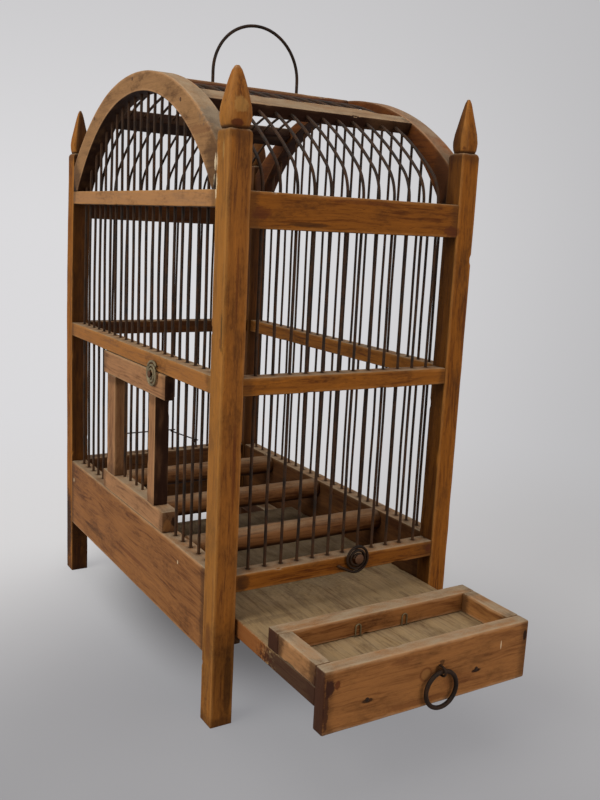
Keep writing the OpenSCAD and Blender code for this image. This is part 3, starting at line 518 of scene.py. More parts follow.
@once
def grain_group():
    """Streaks, fibres and pores that run along the grain's own X."""
    net, given, out = group("Wood grain", {"vector": "Grain", "colour": "Light Middle Dark",
                                           "value": "Streaks Pores"},
                            {"colour": "Colour", "value": "Height"})
    waver = net.streaks(given["Grain"], 0.012, 0.05, 2.0, 0.5, "Color")
    bent = net.vector("ADD", given["Grain"], net.vector("MULTIPLY", waver, (0.0, 9.0, 9.0)))
    rings = net.streaks(bent, 0.009, 0.16, 2.0, 0.5)
    bands = net.math("PINGPONG", net.math("MULTIPLY", rings, 9.0), 1.0)
    fibres = net.streaks(bent, 0.035, 0.9, 5.0, 0.72)
    blotch = net.streaks(given["Grain"], 0.02, 0.07, 4.0, 0.6)
    mixed = net.math("MULTIPLY_ADD", bands, 0.16,
                     net.math("MULTIPLY_ADD", fibres, 0.62, net.math("MULTIPLY", blotch, 0.42)))
    plain = net.mix(net.ramp(mixed, 0.4, 0.62), given["Dark"], given["Middle"])
    streaked = net.mix(net.ramp(mixed, 0.6, 0.86), plain, given["Light"])
    colour = net.mix(given["Streaks"], given["Middle"], streaked)
    pores = net.streaks(bent, 0.16, 2.6, 2.0, 0.6)
    pored = net.math("MULTIPLY", net.ramp(pores, 0.6, 0.72), given["Pores"])
    net.feed(out["Colour"], net.mix(pored, colour, given["Dark"]))
    height = net.math("MULTIPLY_ADD", fibres, 0.6, net.math("MULTIPLY", bands, 0.15))
    net.feed(out["Height"], net.math("SUBTRACT", height, net.math("MULTIPLY", pored, 0.5)))
    return net.tree


def coat_group(name, strength):
    """Group that lays a coat over a colour, as strong as the grain and one more cue make it."""
    net, given, out = group(name, {"colour": "Colour Coat", "vector": "Grain",
                                   "value": "Cue Amount"},
                            {"colour": "Colour", "value": "Mask"})
    level = strength(net, given["Grain"], given["Cue"])
    mask = net.math("MULTIPLY", level, given["Amount"], clamp=True)
    net.feed(out["Mask"], mask)
    net.feed(out["Colour"], net.mix(mask, given["Colour"], given["Coat"]))
    return net.tree


@once
def stain_group():
    """Large uneven patches, used for worn varnish, grime and damp; the cue adds to them."""

    def strength(net, grain, cue):
        fine = net.math("MULTIPLY", net.streaks(grain, 0.22, 0.5, 3.0, 0.6), 0.3)
        level = net.math("MULTIPLY_ADD", net.streaks(grain, 0.022, 0.06, 5.0, 0.62), 0.75, fine)
        return net.ramp(net.math("MULTIPLY_ADD", cue, 0.42, level), 0.5, 0.78)

    return coat_group("Patchy stain", strength)


@once
def dust_group():
    """Pale dust on what faces up, thinner where the surface tilts; the cue is the normal's Z."""

    def strength(net, grain, cue):
        specks = net.math("MULTIPLY", net.noise(grain, 1.1, 2.0, 0.6), 0.35)
        level = net.math("MULTIPLY_ADD", net.streaks(grain, 0.05, 0.11, 4.0, 0.65), 0.9, specks)
        return net.math("MULTIPLY", net.ramp(cue, 0.35, 0.95), net.ramp(level, 0.3, 0.85))

    return coat_group("Settled dust", strength)


@once
def wear_group():
    """Rubbed edges, broken up along their length; the cue is the nearness to an edge."""

    def strength(net, grain, cue):
        broken = net.streaks(grain, 0.07, 0.25, 4.0, 0.6)
        return net.ramp(net.math("ADD", net.math("MULTIPLY", cue, 0.75), broken), 0.78, 1.25)

    return coat_group("Rubbed edges", strength)


@once
def spot_group():
    """Mask of one ragged spot with its own half sizes, at a place on a piece."""
    net, given, out = group("Spot", {"vector": "Place Middle Half", "value": "Ragged"},
                            {"value": "Mask"})
    away = net.vector("SUBTRACT", given["Place"], given["Middle"])
    reach = net.vector("LENGTH", net.vector("DIVIDE", away, given["Half"]))
    uneven = net.math("SUBTRACT", net.noise(given["Place"], 420.0, 3.0, 0.6), 0.5)
    reach = net.math("ADD", reach, net.math("MULTIPLY", uneven, given["Ragged"]))
    net.feed(out["Mask"], net.ramp(reach, 1.15, 0.7))
    return net.tree


@once
def shade_group():
    """Painted shade: how far a face looks into the cage, and how far it looks down or towards the
    front; faces that do are darkened as if in shade."""
    net, given, out = group("Painted shade", {"vector": "Place Normal Middle"},
                            {"value": "Inner Under Front"})
    inward = net.vector("SUBTRACT", given["Middle"], given["Place"])
    inward = net.vector("MULTIPLY", inward, (1, 1, 0))
    facing = net.vector("DOT_PRODUCT", net.vector("NORMALIZE", inward), given["Normal"])
    net.feed(out["Inner"], net.ramp(facing, 0.15, 0.6))
    net.feed(out["Under"], net.ramp(net.channel(given["Normal"], "Z"), -0.2, -0.7))
    net.feed(out["Front"], net.ramp(net.channel(given["Normal"], "Y"), -0.55, -0.8))
    return net.tree


@once
def drill_group():
    """Dark rims of a row of drilled holes, from the first hole and the step to the next."""
    net, given, out = group("Drilled row", {"vector": "Place First Step", "value": "Level"},
                            {"value": "Rim Halo"})
    run = net.vector("SUBTRACT", given["Place"], given["First"])
    share = net.math("DIVIDE", net.vector("DOT_PRODUCT", run, given["Step"]),
                     net.vector("DOT_PRODUCT", given["Step"], given["Step"]))
    nearest = net.scale(given["Step"], net.math("ROUND", share))
    away = net.vector("MULTIPLY", net.vector("SUBTRACT", run, nearest), (1, 1, 0))
    away = net.vector("LENGTH", away)
    rough = net.math("MULTIPLY_ADD", net.noise(given["Place"], 700.0, 2.0), 0.0012, -0.0006)
    away = net.math("ADD", away, rough)
    for label, outer, inner in (("Rim", 0.0021, 0.0014), ("Halo", 0.0052, 0.0016)):
        net.feed(out[label], net.math("MULTIPLY", net.ramp(away, outer, inner), given["Level"]))
    return net.tree


@once
def rust_group():
    """Dark oxide with brown bloom, scale and pits."""
    net, given, out = group("Rusty wire", {"vector": "Grain", "colour": "Steel Rust",
                                           "value": "Amount"},
                            {"colour": "Colour", "value": "Height Roughness"})
    specks = net.noise(given["Grain"], 1.6, 3.0, 0.6)
    level = net.math("MULTIPLY_ADD", net.noise(given["Grain"], 0.12, 4.0, 0.65), 0.7,
                     net.math("MULTIPLY", specks, 0.45))
    mask = net.math("MULTIPLY", net.ramp(level, 0.42, 0.75), given["Amount"], clamp=True)
    net.feed(out["Colour"], net.mix(mask, given["Steel"], given["Rust"]))
    net.feed(out["Height"], specks)
    net.feed(out["Roughness"], net.math("MULTIPLY_ADD", mask, 0.3, 0.55))
    return net.tree


# ---------- finishes ----------


def rgb(colour):
    return (*colour, 1.0)


def new_material(name):
    """Empty material: itself, its net and its shader."""
    material = bpy.data.materials.new(name)
    material.use_nodes = True
    return material, Net(material.node_tree), material.node_tree.nodes["Principled BSDF"]


GRIME = (0.03, 0.012, 0.005, 1)
# Colour of the painted shade on faces that look into the cage, down, to the front or steeply
# sideways.
PAINTED_SHADE_COLOUR = (0.019, 0.0065, 0.003, 1)
HOLE_HALO = (0.06, 0.024, 0.01, 1)
HOLE_RIM = (0.008, 0.004, 0.003, 1)


def wood_material(name, v):
    """Wooden finish from the shared groups, with any local spots and drilled rows; v has the
    values of WOOD_VALUES, and the figure's three colours from light to dark."""
    material, net, shader = new_material(name)
    grain = net.attribute("grain", "Vector")
    edge, joint, tone = (net.attribute(label) for label in ("edge", "joint", "tone"))
    where = net.node("ShaderNodeTexCoord").outputs["Object"]
    normal = net.node("ShaderNodeNewGeometry").outputs["Normal"]
    up = net.channel(normal, "Z")
    light, middle, dark = (rgb(colour) for colour in v["figure"])
    grown = net.use(grain_group(), Grain=grain, Light=light, Middle=middle, Dark=dark,
                    Streaks=v["streaks"], Pores=v["pores"])
    colour = net.mix(net.ramp(tone, 0.0, 1.0), grown["Colour"], rgb(v["pale"]))
    colour = net.mix(net.ramp(tone, 0.0, -1.0, 0.0, 0.8), colour, dark)
    for coat, paint, amount, cue in (
        (stain_group, rgb(v["stain_colour"]), v["stain"], 0.0),
        (wear_group, rgb(v["worn"] or v["pale"]), v["wear"], edge),
        (stain_group, GRIME, v["grime"], joint),
    ):
        colour = net.use(coat(), Colour=colour, Grain=grain, Coat=paint, Amount=amount,
                         Cue=cue)["Colour"]
    height = grown["Height"]
    for middle, half, ragged, spot_colour, amount in v["spots"]:
        mask = net.use(spot_group(), Place=where, Middle=middle, Half=half, Ragged=ragged)["Mask"]
        colour = net.mix(net.math("MULTIPLY", mask, amount), colour, rgb(spot_colour))
        height = net.math("SUBTRACT", height, net.math("MULTIPLY", mask, 0.3 * amount))
    # Painted shade: faces that look into the cage, down, to the front or steeply sideways are
    # darkened towards the shade colour in uneven streaks, as if out of the light.
    shade = net.use(shade_group(), Place=where, Normal=normal, Middle=CAGE_MIDDLE)
    painted_shade = net.math("MULTIPLY", shade["Inner"], v["inner"])
    sides = [(shade["Under"], v["under"]), (shade["Front"], v["front"])]
    if v["side"]:
        sides.append((net.ramp(up, 0.75, 0.5), v["side"]))
    for level, amount in sides:
        painted_shade = net.math("MAXIMUM", painted_shade, net.math("MULTIPLY", level, amount))
    shade_patches = net.ramp(net.streaks(grain, 0.03, 0.12, 3.0), 0.15, 0.6, 0.75, 1.1)
    colour = net.mix(net.math("MULTIPLY", painted_shade, shade_patches, clamp=True), colour, PAINTED_SHADE_COLOUR)
    dusty = net.use(dust_group(), Colour=colour, Grain=grain, Cue=up, Coat=rgb(v["dust"]),
                    Amount=v["dusty"])
    colour = dusty["Colour"]
    for first, step, level in v["rows"]:
        row = net.use(drill_group(), Place=where, First=first, Step=step, Level=level)
        flat = net.ramp(net.math("ABSOLUTE", up), 0.6, 0.9)
        halo = net.math("MULTIPLY", net.math("MULTIPLY", row["Halo"], flat), 0.5)
        colour = net.mix(halo, colour, HOLE_HALO)
        colour = net.mix(net.math("MULTIPLY", row["Rim"], flat), colour, HOLE_RIM)
    rough = net.math("MULTIPLY_ADD", dusty["Mask"], 0.25, v["roughness"])
    fibre = net.math("MULTIPLY_ADD", grown["Height"], 0.16, -0.08)
    for key, value in (("Base Color", colour), ("Normal", net.bump(height, 0.4, 0.4 * MM)),
                       ("Roughness", net.math("ADD", rough, fibre, clamp=True)),
                       ("Specular IOR Level", 0.08)):
        net.feed(shader.inputs[key], value)
    return material


def metal_material(name, steel, rust, amount, metallic, bump):
    """Aged wire or nail from the shared rust group."""
    material, net, shader = new_material(name)
    rusty = net.use(rust_group(), Grain=net.attribute("grain", "Vector"), Steel=rgb(steel),
                    Rust=rgb(rust), Amount=amount)
    near_end = net.math("MULTIPLY", net.attribute("joint"), 0.6)
    for key, value in (("Base Color", net.mix(near_end, rusty["Colour"], rgb(rust))),
                       ("Normal", net.bump(rusty["Height"], bump, 0.15 * MM)),
                       ("Roughness", rusty["Roughness"]), ("Metallic", metallic),
                       ("Specular IOR Level", 0.15)):
        net.feed(shader.inputs[key], value)
    return material


HOLE_LEVEL = 0.9


def drilled(node, axis):
    """Row of holes of a node's wires: first place, step and strength."""
    wires = strands(node, axis)
    spots = [(low + high) / 2 for low, high, _ in wires]
    span = spots[-1][axis] - spots[0][axis]
    step = Vector((0, 0, 0))
    step[axis] = span / round(span / min(b[axis] - a[axis] for a, b in zip(spots, spots[1:])))
    foot = Vector((spots[0][0], spots[0][1], 0))
    if axis == 0:
        first = wires[0][2]
        foot.y = float(np.mean(first[first[:, 2] < MIDDLE_Z][:, 1]))
    return foot, step, HOLE_LEVEL


def mark(x, y, z, wide, deep, tall, colour, amount=0.8, ragged=0.5):
    """Ragged spot: its middle and half sizes in millimetres, its colour and its strength."""
    return (place(x, y, z), Vector((wide, deep, tall)) * MM, ragged, colour, amount)


def on_left(y, z, wide, tall, *look):
    return mark(0, y, z, 3, wide, tall, *look)


def on_front(x, z, wide, tall, *look, y=0):
    return mark(x, y, z, wide, 3, tall, *look)


BLACK = (0.012, 0.005, 0.003)
RED_BROWN = (0.075, 0.017, 0.006)
PURPLE_BROWN = (0.034, 0.012, 0.0075)
CREAM = (0.62, 0.5, 0.34)

FRAME_SPOTS = (
    on_left(2.2, 268, 1.2, 14, BLACK, 1.0, 1.1), on_left(3.4, 262, 1.6, 4, RED_BROWN, 0.8, 1.2),
    on_left(15.6, 371, 1.3, 5, CREAM, 0.6, 1.6), on_left(15.8, 357, 1.6, 8, CREAM, 0.8, 1.6),
    on_left(7, 378, 1.2, 6, (0.3, 0.2, 0.08), 0.5, 1.0),
    # Painted light: the near post's left face made lighter and more yellow along its whole height,
    # as if lit from the left.
    on_left(7.7, 230, 12, 240, (0.3, 0.14, 0.03), 0.3, 1.2),
    on_front(5.3, 393.5, 4.5, 2.6, RED_BROWN, 0.85),
    on_front(7.5, 405, 5, 6, (0.4, 0.23, 0.07), 0.4, 1.4),
    on_front(181.5, 393.5, 4, 2.4, RED_BROWN, 0.9), on_front(24, 342, 7, 4, RED_BROWN, 0.5, 1.5),
    on_front(59, 336, 16, 1.6, BLACK, 0.6), on_front(177, 336, 7, 4, RED_BROWN, 0.65, 1.2),
    on_front(178.2, 101.6, 2.6, 3, RED_BROWN, 0.7), on_front(21, 101, 5, 6, BLACK, 0.55),
    on_front(100, 352, 30, 1.5, RED_BROWN, 0.4), on_front(9, 300, 1, 26, RED_BROWN, 0.5),
    on_front(11, 180, 1.2, 34, RED_BROWN, 0.55), on_front(195, 270, 1.3, 30, RED_BROWN, 0.5),
    on_left(8, 60, 4, 14, RED_BROWN, 0.45), on_front(12, 30, 3, 26, BLACK, 0.5),
    # Painted shade: the foot of the back left post darkened, as in the shade under the cage.
    mark(8, 320, 40, 16, 14, 46, BLACK, 0.85, 1.0),
    mark(8, 314, 445, 12, 14, 20, (0.06, 0.035, 0.022), 0.75, 0.9),
)
ARCH_SPOTS = (
    on_left(17.5, 371, 1.5, 5, CREAM, 0.75, 1.7), on_left(17.8, 358, 2, 7, CREAM, 0.85, 1.7),
    on_left(20, 352, 3, 2, CREAM, 0.5, 1.7), on_left(40, 392, 20, 3, RED_BROWN, 0.3, 1.4),
    mark(8, 34, 403, 9, 16, 14, (0.09, 0.072, 0.058), 0.75, 1.2),
)
FAR_ARCH_SPOTS = (
    mark(193, 60, 415, 9, 36, 16, (0.12, 0.09, 0.065), 0.45, 1.2),
    mark(193, 120, 430, 9, 12, 9, RED_BROWN, 0.5, 1.4),
)
SILL_SPOTS = (
    mark(9.5, 89, 117, 2.6, 2, 4, BLACK, 0.9, 0.9),
    mark(4, 89, 114, 3, 2, 5, (0.3, 0.13, 0.04), 0.7, 0.9),
)
END_SPOTS = (
    mark(18.5, -101, 66, 1.1, 9, 30, PURPLE_BROWN, 0.88, 0.9),
    mark(18.5, -46, 76, 1.1, 9, 16, PURPLE_BROWN, 0.85, 0.9),
)
FLOOR_SPOTS = (
    mark(18.5, -12, 67, 1.4, 34, 12, (0.2, 0.06, 0.012), 0.85, 1.4),
    mark(18.5, -78, 67, 1.4, 48, 12, PURPLE_BROWN, 0.9, 1.2),
    mark(40, -4, 74, 24, 3, 2, (0.1, 0.06, 0.03), 0.4, 0.9),
    # Painted shade: the drawer floor inside the cage darkened, as if in the cage's shadow.
    mark(98, 168, 68, 125, 152, 20, (0.03, 0.015, 0.006), 0.8, 0.5),
)
BOARD_SPOTS = (
    on_left(60, 97.5, 0.8, 1.6, CREAM, 0.7, 1.0), on_left(300, 92, 1.2, 2, CREAM, 0.7, 1.0),
    on_left(150, 70, 40, 2, RED_BROWN, 0.5), on_left(240, 62, 26, 3, BLACK, 0.35),
)
DRAWER_SPOTS = tuple(on_front(*row, y=-106) for row in (
    (22.5, 77, 3.4, 6, PURPLE_BROWN, 0.95, 1.4), (28, 78, 2, 3, RED_BROWN, 0.8, 1.3),
    (20.5, 62, 1.8, 14, PURPLE_BROWN, 0.8, 1.4), (49.6, 62.6, 4.6, 1.4, BLACK, 0.85, 0.7),
    (134.9, 62.3, 4.2, 1.3, BLACK, 0.95, 0.4), (155, 75.5, 0.5, 3.2, CREAM, 0.7, 0.2),
    (176, 78, 1.8, 4, BLACK, 0.9, 0.5), (106, 74.5, 2, 2, BLACK, 0.6, 1.0),
    (104, 70.5, 3.4, 3, BLACK, 0.6, 0.6), (74, 82, 9, 2, RED_BROWN, 0.35, 0.9),
    (120, 60, 14, 5, RED_BROWN, 0.3, 0.9), (90, 52, 30, 2.2, RED_BROWN, 0.35, 0.9),
    (93.3, 69.2, 5, 5, RED_BROWN, 0.8, 0.25), (93.3, 69.2, 4, 4, (0.25, 0.115, 0.036), 0.8, 0.1),
)) + END_SPOTS

# How strongly each effect shows; worn is the colour of rubbed edges if it isn't the pale wood.
# inner, under, front and side are painted shade: how dark the faces that look into the cage, down,
# to the front and steeply sideways are made.
WOOD_VALUES = dict(
    streaks=0.85, pores=0.5, wear=0.6, dusty=0.8, grime=0.6, stain=0.35, inner=0.65, under=0.6,
    front=0.0, side=0.0, roughness=0.68, stain_colour=(0.055, 0.016, 0.004), worn=None, spots=(),
    rows=())
FRAME_WOOD = dict(
    streaks=1.0, pores=0.9, wear=0.4, stain=0.45, grime=0.5, inner=0.75, under=0.7, front=0.1,
    worn=(0.35, 0.16, 0.045), spots=FRAME_SPOTS)
DOOR_BROWN = (0.27, 0.13, 0.058)
# Brown of each wood, or None for the varnished wood of the settings, and its own values.
WOODS = {
    "frame_wood": (None, FRAME_WOOD),
    # lit_wood is the frame wood with almost none of the painted inner shade: a lit copy for the
    # right rails, whose inner faces look towards the lamp on the left.
    "lit_wood": (None, {**FRAME_WOOD, "inner": 0.08}),
    "arch_wood": ((0.222, 0.115, 0.048), dict(
        streaks=0.6, inner=0.88, under=0.92, spots=ARCH_SPOTS)),
    "far_arch_wood": ((0.17, 0.05, 0.009), dict(
        dusty=0.6, streaks=0.7, stain=0.4, wear=0.3, inner=0.5, under=0.9, spots=FAR_ARCH_SPOTS)),
    "board_wood": ((0.222, 0.091, 0.029), dict(
        dusty=0.85, stain_colour=(0.11, 0.032, 0.012), stain=0.5, spots=BOARD_SPOTS)),
    "roof_wood": ((0.18, 0.094, 0.041), dict(dusty=0.75, stain=0.5, side=0.92, under=0.95)),
    "crown_wood": ((0.15, 0.055, 0.028), dict(
        dusty=0.9, stain=0.4, side=0.25, inner=0.3, under=0.95)),
    "perch_wood": ((0.175, 0.075, 0.027), dict(
        wear=0.3, dusty=0.45, grime=0.5, under=0.8, inner=0.0)),
    # door_wood paints the faces that look to the front almost black as shade; sill_wood is a copy
    # with much less of that painted shade, also used for the far stile.
    "door_wood": (DOOR_BROWN, dict(dusty=0.75, stain=0.25, grime=0.4, front=0.91, inner=0.8)),
    "sill_wood": (DOOR_BROWN, dict(grime=0.5, front=0.25, inner=0.7, spots=SILL_SPOTS)),
    "drawer_wood": ((0.25, 0.108, 0.034), dict(
        dusty=0.9, stain=0.22, grime=0.7, inner=0.0, spots=END_SPOTS)),
    "drawer_front": ((0.245, 0.104, 0.032), dict(
        dusty=0.9, streaks=0.6, stain=0.15, grime=0.5, inner=0.0, spots=DRAWER_SPOTS)),
    "floor_wood": ((0.268, 0.178, 0.088), dict(
        pale=(0.25, 0.14, 0.055), wear=0.5, dusty=0.3, inner=0.0, under=0.8, roughness=0.78,
        spots=FLOOR_SPOTS)),
}
DRILLED_WOODS = ("frame_wood", "lit_wood", "board_wood")
WALL_AXES = {"front_wires": 0, "back_wires": 0, "left_wires": 1, "right_wires": 1}


@once
def finish(name):
    """Material of one slot, or of one of its pieces, in this cage's own colours."""
    s = bpy.context.scene.cage_finish
    black, rust = tuple(s.wire), tuple(s.rust)
    metals = {
        "wall_wire": (black, rust, 0.7, 0.0, 0.5),
        "dark_wire": (tuple(0.8 * c for c in black), rust, 0.45, 0.2, 0.3),
        "button_wire": ((0.25, 0.2, 0.12), (0.05, 0.035, 0.02), 0.6, 0.5, 0.3),
        "staple_wire": ((0.17, 0.13, 0.07), (0.05, 0.03, 0.015), 0.6, 0.3, 0.3),
        "nails": ((0.1, 0.05, 0.028), rust, 0.7, 0.2, 0.5),
    }
    if name in metals:
        return metal_material(name, *metals[name])
    brown, values = WOODS[name]
    base, deep = np.array(brown or s.warm_wood), np.array(s.deep_wood)
    dark = 0.35 * base * (0.6 + 0.4 * deep / deep[0])
    values = {**WOOD_VALUES, "pale": tuple(s.pale_wood), "dust": tuple(s.dust), **values,
              "figure": (tuple(1.35 * base), tuple(base), tuple(dark))}
    if name in DRILLED_WOODS:
        values["rows"] = [drilled(node, axis) for node, axis in WALL_AXES.items()]
    return wood_material(name, values)


# ---------- settings ----------


def length(name, description, default, most, least=0.0):
    """Setting of a length, given in millimetres."""
    return FloatProperty(name=name, description=description, default=default * MM,
                         min=least * MM, max=most * MM, unit="LENGTH")


def colour(name, description, *default):
    return FloatVectorProperty(name=name, description=description, default=default,
                               subtype="COLOR", min=0, max=1)


def power(name, description, default):
    return FloatProperty(name=name, description=description, default=default, min=0, unit="POWER")


class CageShape(bpy.types.PropertyGroup):
    """How worn and uneven the pieces are."""

    edge_radius: length("Edge rounding", "Radius of the worn long edges of the wood", 0.8, 2, 0.2)
    tool_marks: length("Tool marks", "Depth of the plane and knife marks on the wood", 0.2, 1)
    post_lean: length("Lean", "How far the top of the back left post has warped forward", 8, 12)
    wire_sway: length("Wire sway", "How far the wires bow between the rails", 0.6, 2)


class CageFinish(bpy.types.PropertyGroup):
    """Colours of the cage, as linear light."""

    warm_wood: colour("Warm wood", "Varnished wood of the posts and rails", 0.224, 0.077, 0.0085)
    deep_wood: colour("Deep wood", "Dark grain and old varnish", 0.08, 0.022, 0.004)
    pale_wood: colour("Pale wood", "Wood where the varnish has worn away", 0.37, 0.205, 0.1)
    dust: colour("Dust", "Dust on the faces that look up", 0.3, 0.235, 0.16)
    wire: colour("Wire", "Dark oxide of the wires", 0.011, 0.0075, 0.0055)
    rust: colour("Rust", "Brown bloom on the wires", 0.07, 0.03, 0.012)


class CageStudio(bpy.types.PropertyGroup):
    """Floor, background, lamps and camera."""

    floor_colour: colour("Floor", "Colour of the floor", 0.35, 0.348, 0.365)
    floor_glow: FloatProperty(
        name="Floor glow", description="Share of the floor's light that no shadow dims",
        default=0.7, min=0, max=1, subtype="FACTOR")
    wall_colour: colour("Background", "Colour behind the cage", 0.52, 0.515, 0.525)
    key_power: power("Key lamp", "Power of the large lamp on the left", 32.0)
    fill_power: power("Fill lamp", "Power of the large lamp in front", 16.0)
    top_power: power("Top lamp", "Power of the large lamp overhead", 11.0)
    lens: FloatProperty(
        name="Lens", description="Focal length of the camera",
        default=40.2, min=10, max=200, unit="CAMERA")


# ---------- posts, rails and boards ----------

# Half width of the finial as a share of the post's, at shares of its height.
FINIAL_HEIGHTS = (0.0, 0.08, 0.2, 0.37, 0.54, 0.76, 0.92, 1.0)
FINIAL_WIDTHS = (0.77, 0.9, 0.95, 0.85, 0.67, 0.45, 0.27, 0.13)
FINIAL_SLOPE = 1.6 * MM
FINIAL_SINK = 0.5 * MM
FINIAL_STEPS = 14
# The blunt tip's rings: how much narrower each is, and how far under the top.
FINIAL_TIP = ((1.0, 0.4 * MM), (0.75, 0.1 * MM), (0.35, 0.0))
# How much fuller a post and its finial were left than the others, and how much lower one ends.
FULL_POST = {"corner_post_front_left": (0.9 * MM, 1.13)}
LOW_POST = {"corner_post_back_left": 3.2 * MM}


def post_top(node):
    """Height of the shoulder under a post's finial: where its mesh still has its full width."""
    points = node_points(node)
    wide = points[points[:, 0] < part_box(node)[0].x + CLOSE]
    return float(wide[:, 2].max()) + FINIAL_SLOPE


def build_post(node, seed, tone):
    """Square post with worn edges and a pared, spear-shaped finial."""
    low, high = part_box(node)
    shoulder = post_top(node)
    shell = Shell()
    extra, fuller = FULL_POST.get(node, (0.0, 1.0))
    body_high = Vector((high.x + extra, high.y + extra, shoulder))

    def slope(reach):
        return (max(0.0, reach - (shoulder - low.z - FINIAL_SLOPE)),) * 4

    box_bar(shell, low, body_high, "z", seed, end_radius=0.3 * MM, nicks=7, trim=slope)
    middle = (low + body_high) / 2
    levels = [(i / FINIAL_STEPS, 1.0, 0.0) for i in range(FINIAL_STEPS)]
    rings = []
    for share, narrow, under in levels + [(1.0, *tip) for tip in FINIAL_TIP]:
        half = POST_SIDE / 2 * float(np.interp(share, FINIAL_HEIGHTS, FINIAL_WIDTHS))
        half *= narrow * (fuller + (fuller - 1) * 2.5 * share)
        z = shoulder - FINIAL_SINK + (high.z - shoulder + FINIAL_SINK) * share - under
        points, grains, edges = [], [], []
        for spot, out, near, _ in section(2 * half, 2 * half, 0.52 * half, 2, 2):
            dent = 0.3 * MM * dented((*spot, z), 9 * MM, seed)
            spot = spot - out * min(dent, 0.3 * half)
            points.append(np.array([middle.x + spot[0], middle.y + spot[1], z]))
            grains.append(np.array([z, *spot]) / MM + grain_shift(seed))
            edges.append(near * 0.8)
        rings.append(shell.ring(points, grains, 0.0 if rings else 1.0, edges))
    shell.loft(rings)
    for point in shell.points:
        point[2] -= LOW_POST.get(node, 0.0) * float(smooth_step(point[2], RAIL_TOP, shoulder))
    publish(shell, node, "frame_wood", tone)


def build_bar(node, way, slot_name, seed, tone=0.0, box=None, material=None, **values):
    """Straight wooden piece that fills its node's box, with its grain along one way."""
    shell = Shell()
    box_bar(shell, *(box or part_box(node)), way, seed, **values)
    publish(shell, node, slot_name, tone, material)


class CAGE_OT_posts(bpy.types.Operator):
    """Four corner posts with their finials"""

    bl_idname = "cage.posts"
    bl_label = "Corner posts"

    def execute(self, context):
        for seed, (node, tone) in enumerate((
            ("corner_post_front_left", 0.16), ("corner_post_front_right", -0.1),
            ("corner_post_back_left", 0.0), ("corner_post_back_right", -0.2),
        ), 1):
            build_post(node, seed, tone)
        return {"FINISHED"}


class CAGE_OT_rails(bpy.types.Operator):
    """Rails between the posts, on all four sides"""

    bl_idname = "cage.rails"
    bl_label = "Rails"

    def execute(self, context):
        for seed, (node, way, tone) in enumerate((
            ("front_bottom_rail", "x", -0.35), ("front_middle_rail", "x", 0.05),
            ("front_upper_rail", "x", -0.3), ("back_middle_rail", "x", -0.4),
            ("back_upper_rail", "x", -0.5), ("left_middle_rail", "y", 0.28),
            ("right_middle_rail", "y", 0.15), ("left_upper_rail", "y", 0.56),
            ("right_upper_rail", "y", -0.1),
        ), 11):
            # The right rails take lit_wood, the copy of the frame wood with almost no painted
            # inner shade.
            build_bar(node, way, "frame_wood", seed, tone, between_posts(node, way),
                      "lit_wood" if node.startswith("right") else None, nicks=5)
        return {"FINISHED"}


class CAGE_OT_boards(bpy.types.Operator):
    """Base boards and the strips that the drawer slides on"""

    bl_idname = "cage.boards"
    bl_label = "Base boards"

    def execute(self, context):
        for seed, (side, way) in enumerate((("left", "y"), ("right", "y"), ("back", "x")), 31):
            node = "base_board_" + side
            build_bar(node, way, "board_wood", seed, 0.0, between_posts(node, way), nicks=5)
        for seed, side in enumerate(("left", "right"), 41):
            build_bar("drawer_runner_" + side, "y", "board_wood", seed, -0.5, pitch=12 * MM)
        return {"FINISHED"}


# ---------- arches and roof ----------

ARCH_STEPS = 72


def arch_outline(node):
    """An arch's crown and curves, read from its mesh: its crown's y, and for its outer and its
    inner curve the near and the far half, each as (radius, crown height, half span)."""
    points = node_points(node)
    low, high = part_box(node)
    crown_y = float(np.mean(points[points[:, 2] > high.z - 0.001 * MM][:, 1]))
    near_top = float(points[points[:, 1] < low.y + CLOSE][:, 2].max())
    far_top = float(points[points[:, 1] > high.y - CLOSE][:, 2].max())
    feet = points[points[:, 2] < low.z + 0.01 * MM][:, 1]
    near_foot = float(feet[feet < crown_y].max())
    far_foot = float(feet[feet > crown_y].min())
    under = points[(abs(points[:, 1] - crown_y) < CLOSE) & (points[:, 2] < high.z - 5 * MM)]

    def halves(crown_z, *sides):
        return [(((crown_z - foot) ** 2 + span * span) / (2 * (crown_z - foot)), crown_z, span)
                for span, foot in sides]

    outer = halves(high.z, (crown_y - low.y, near_top), (high.y - crown_y, far_top))
    inner = halves(float(under[:, 2].max()), (crown_y - near_foot, low.z),
                   (far_foot - crown_y, low.z))
    return crown_y, outer, inner


def arch_curve(crown_y, halves, share):
    """Point of one of an arch's curves, from its near foot at share 0 to its far foot at 1."""
    radius, crown_z, span = halves[int(share >= 0.5)]
    angle = math.asin(min(1.0, span / radius)) * (2 * share - 1)
    y, z = crown_y + radius * math.sin(angle), crown_z - radius + radius * math.cos(angle)
    return np.array([y, z])


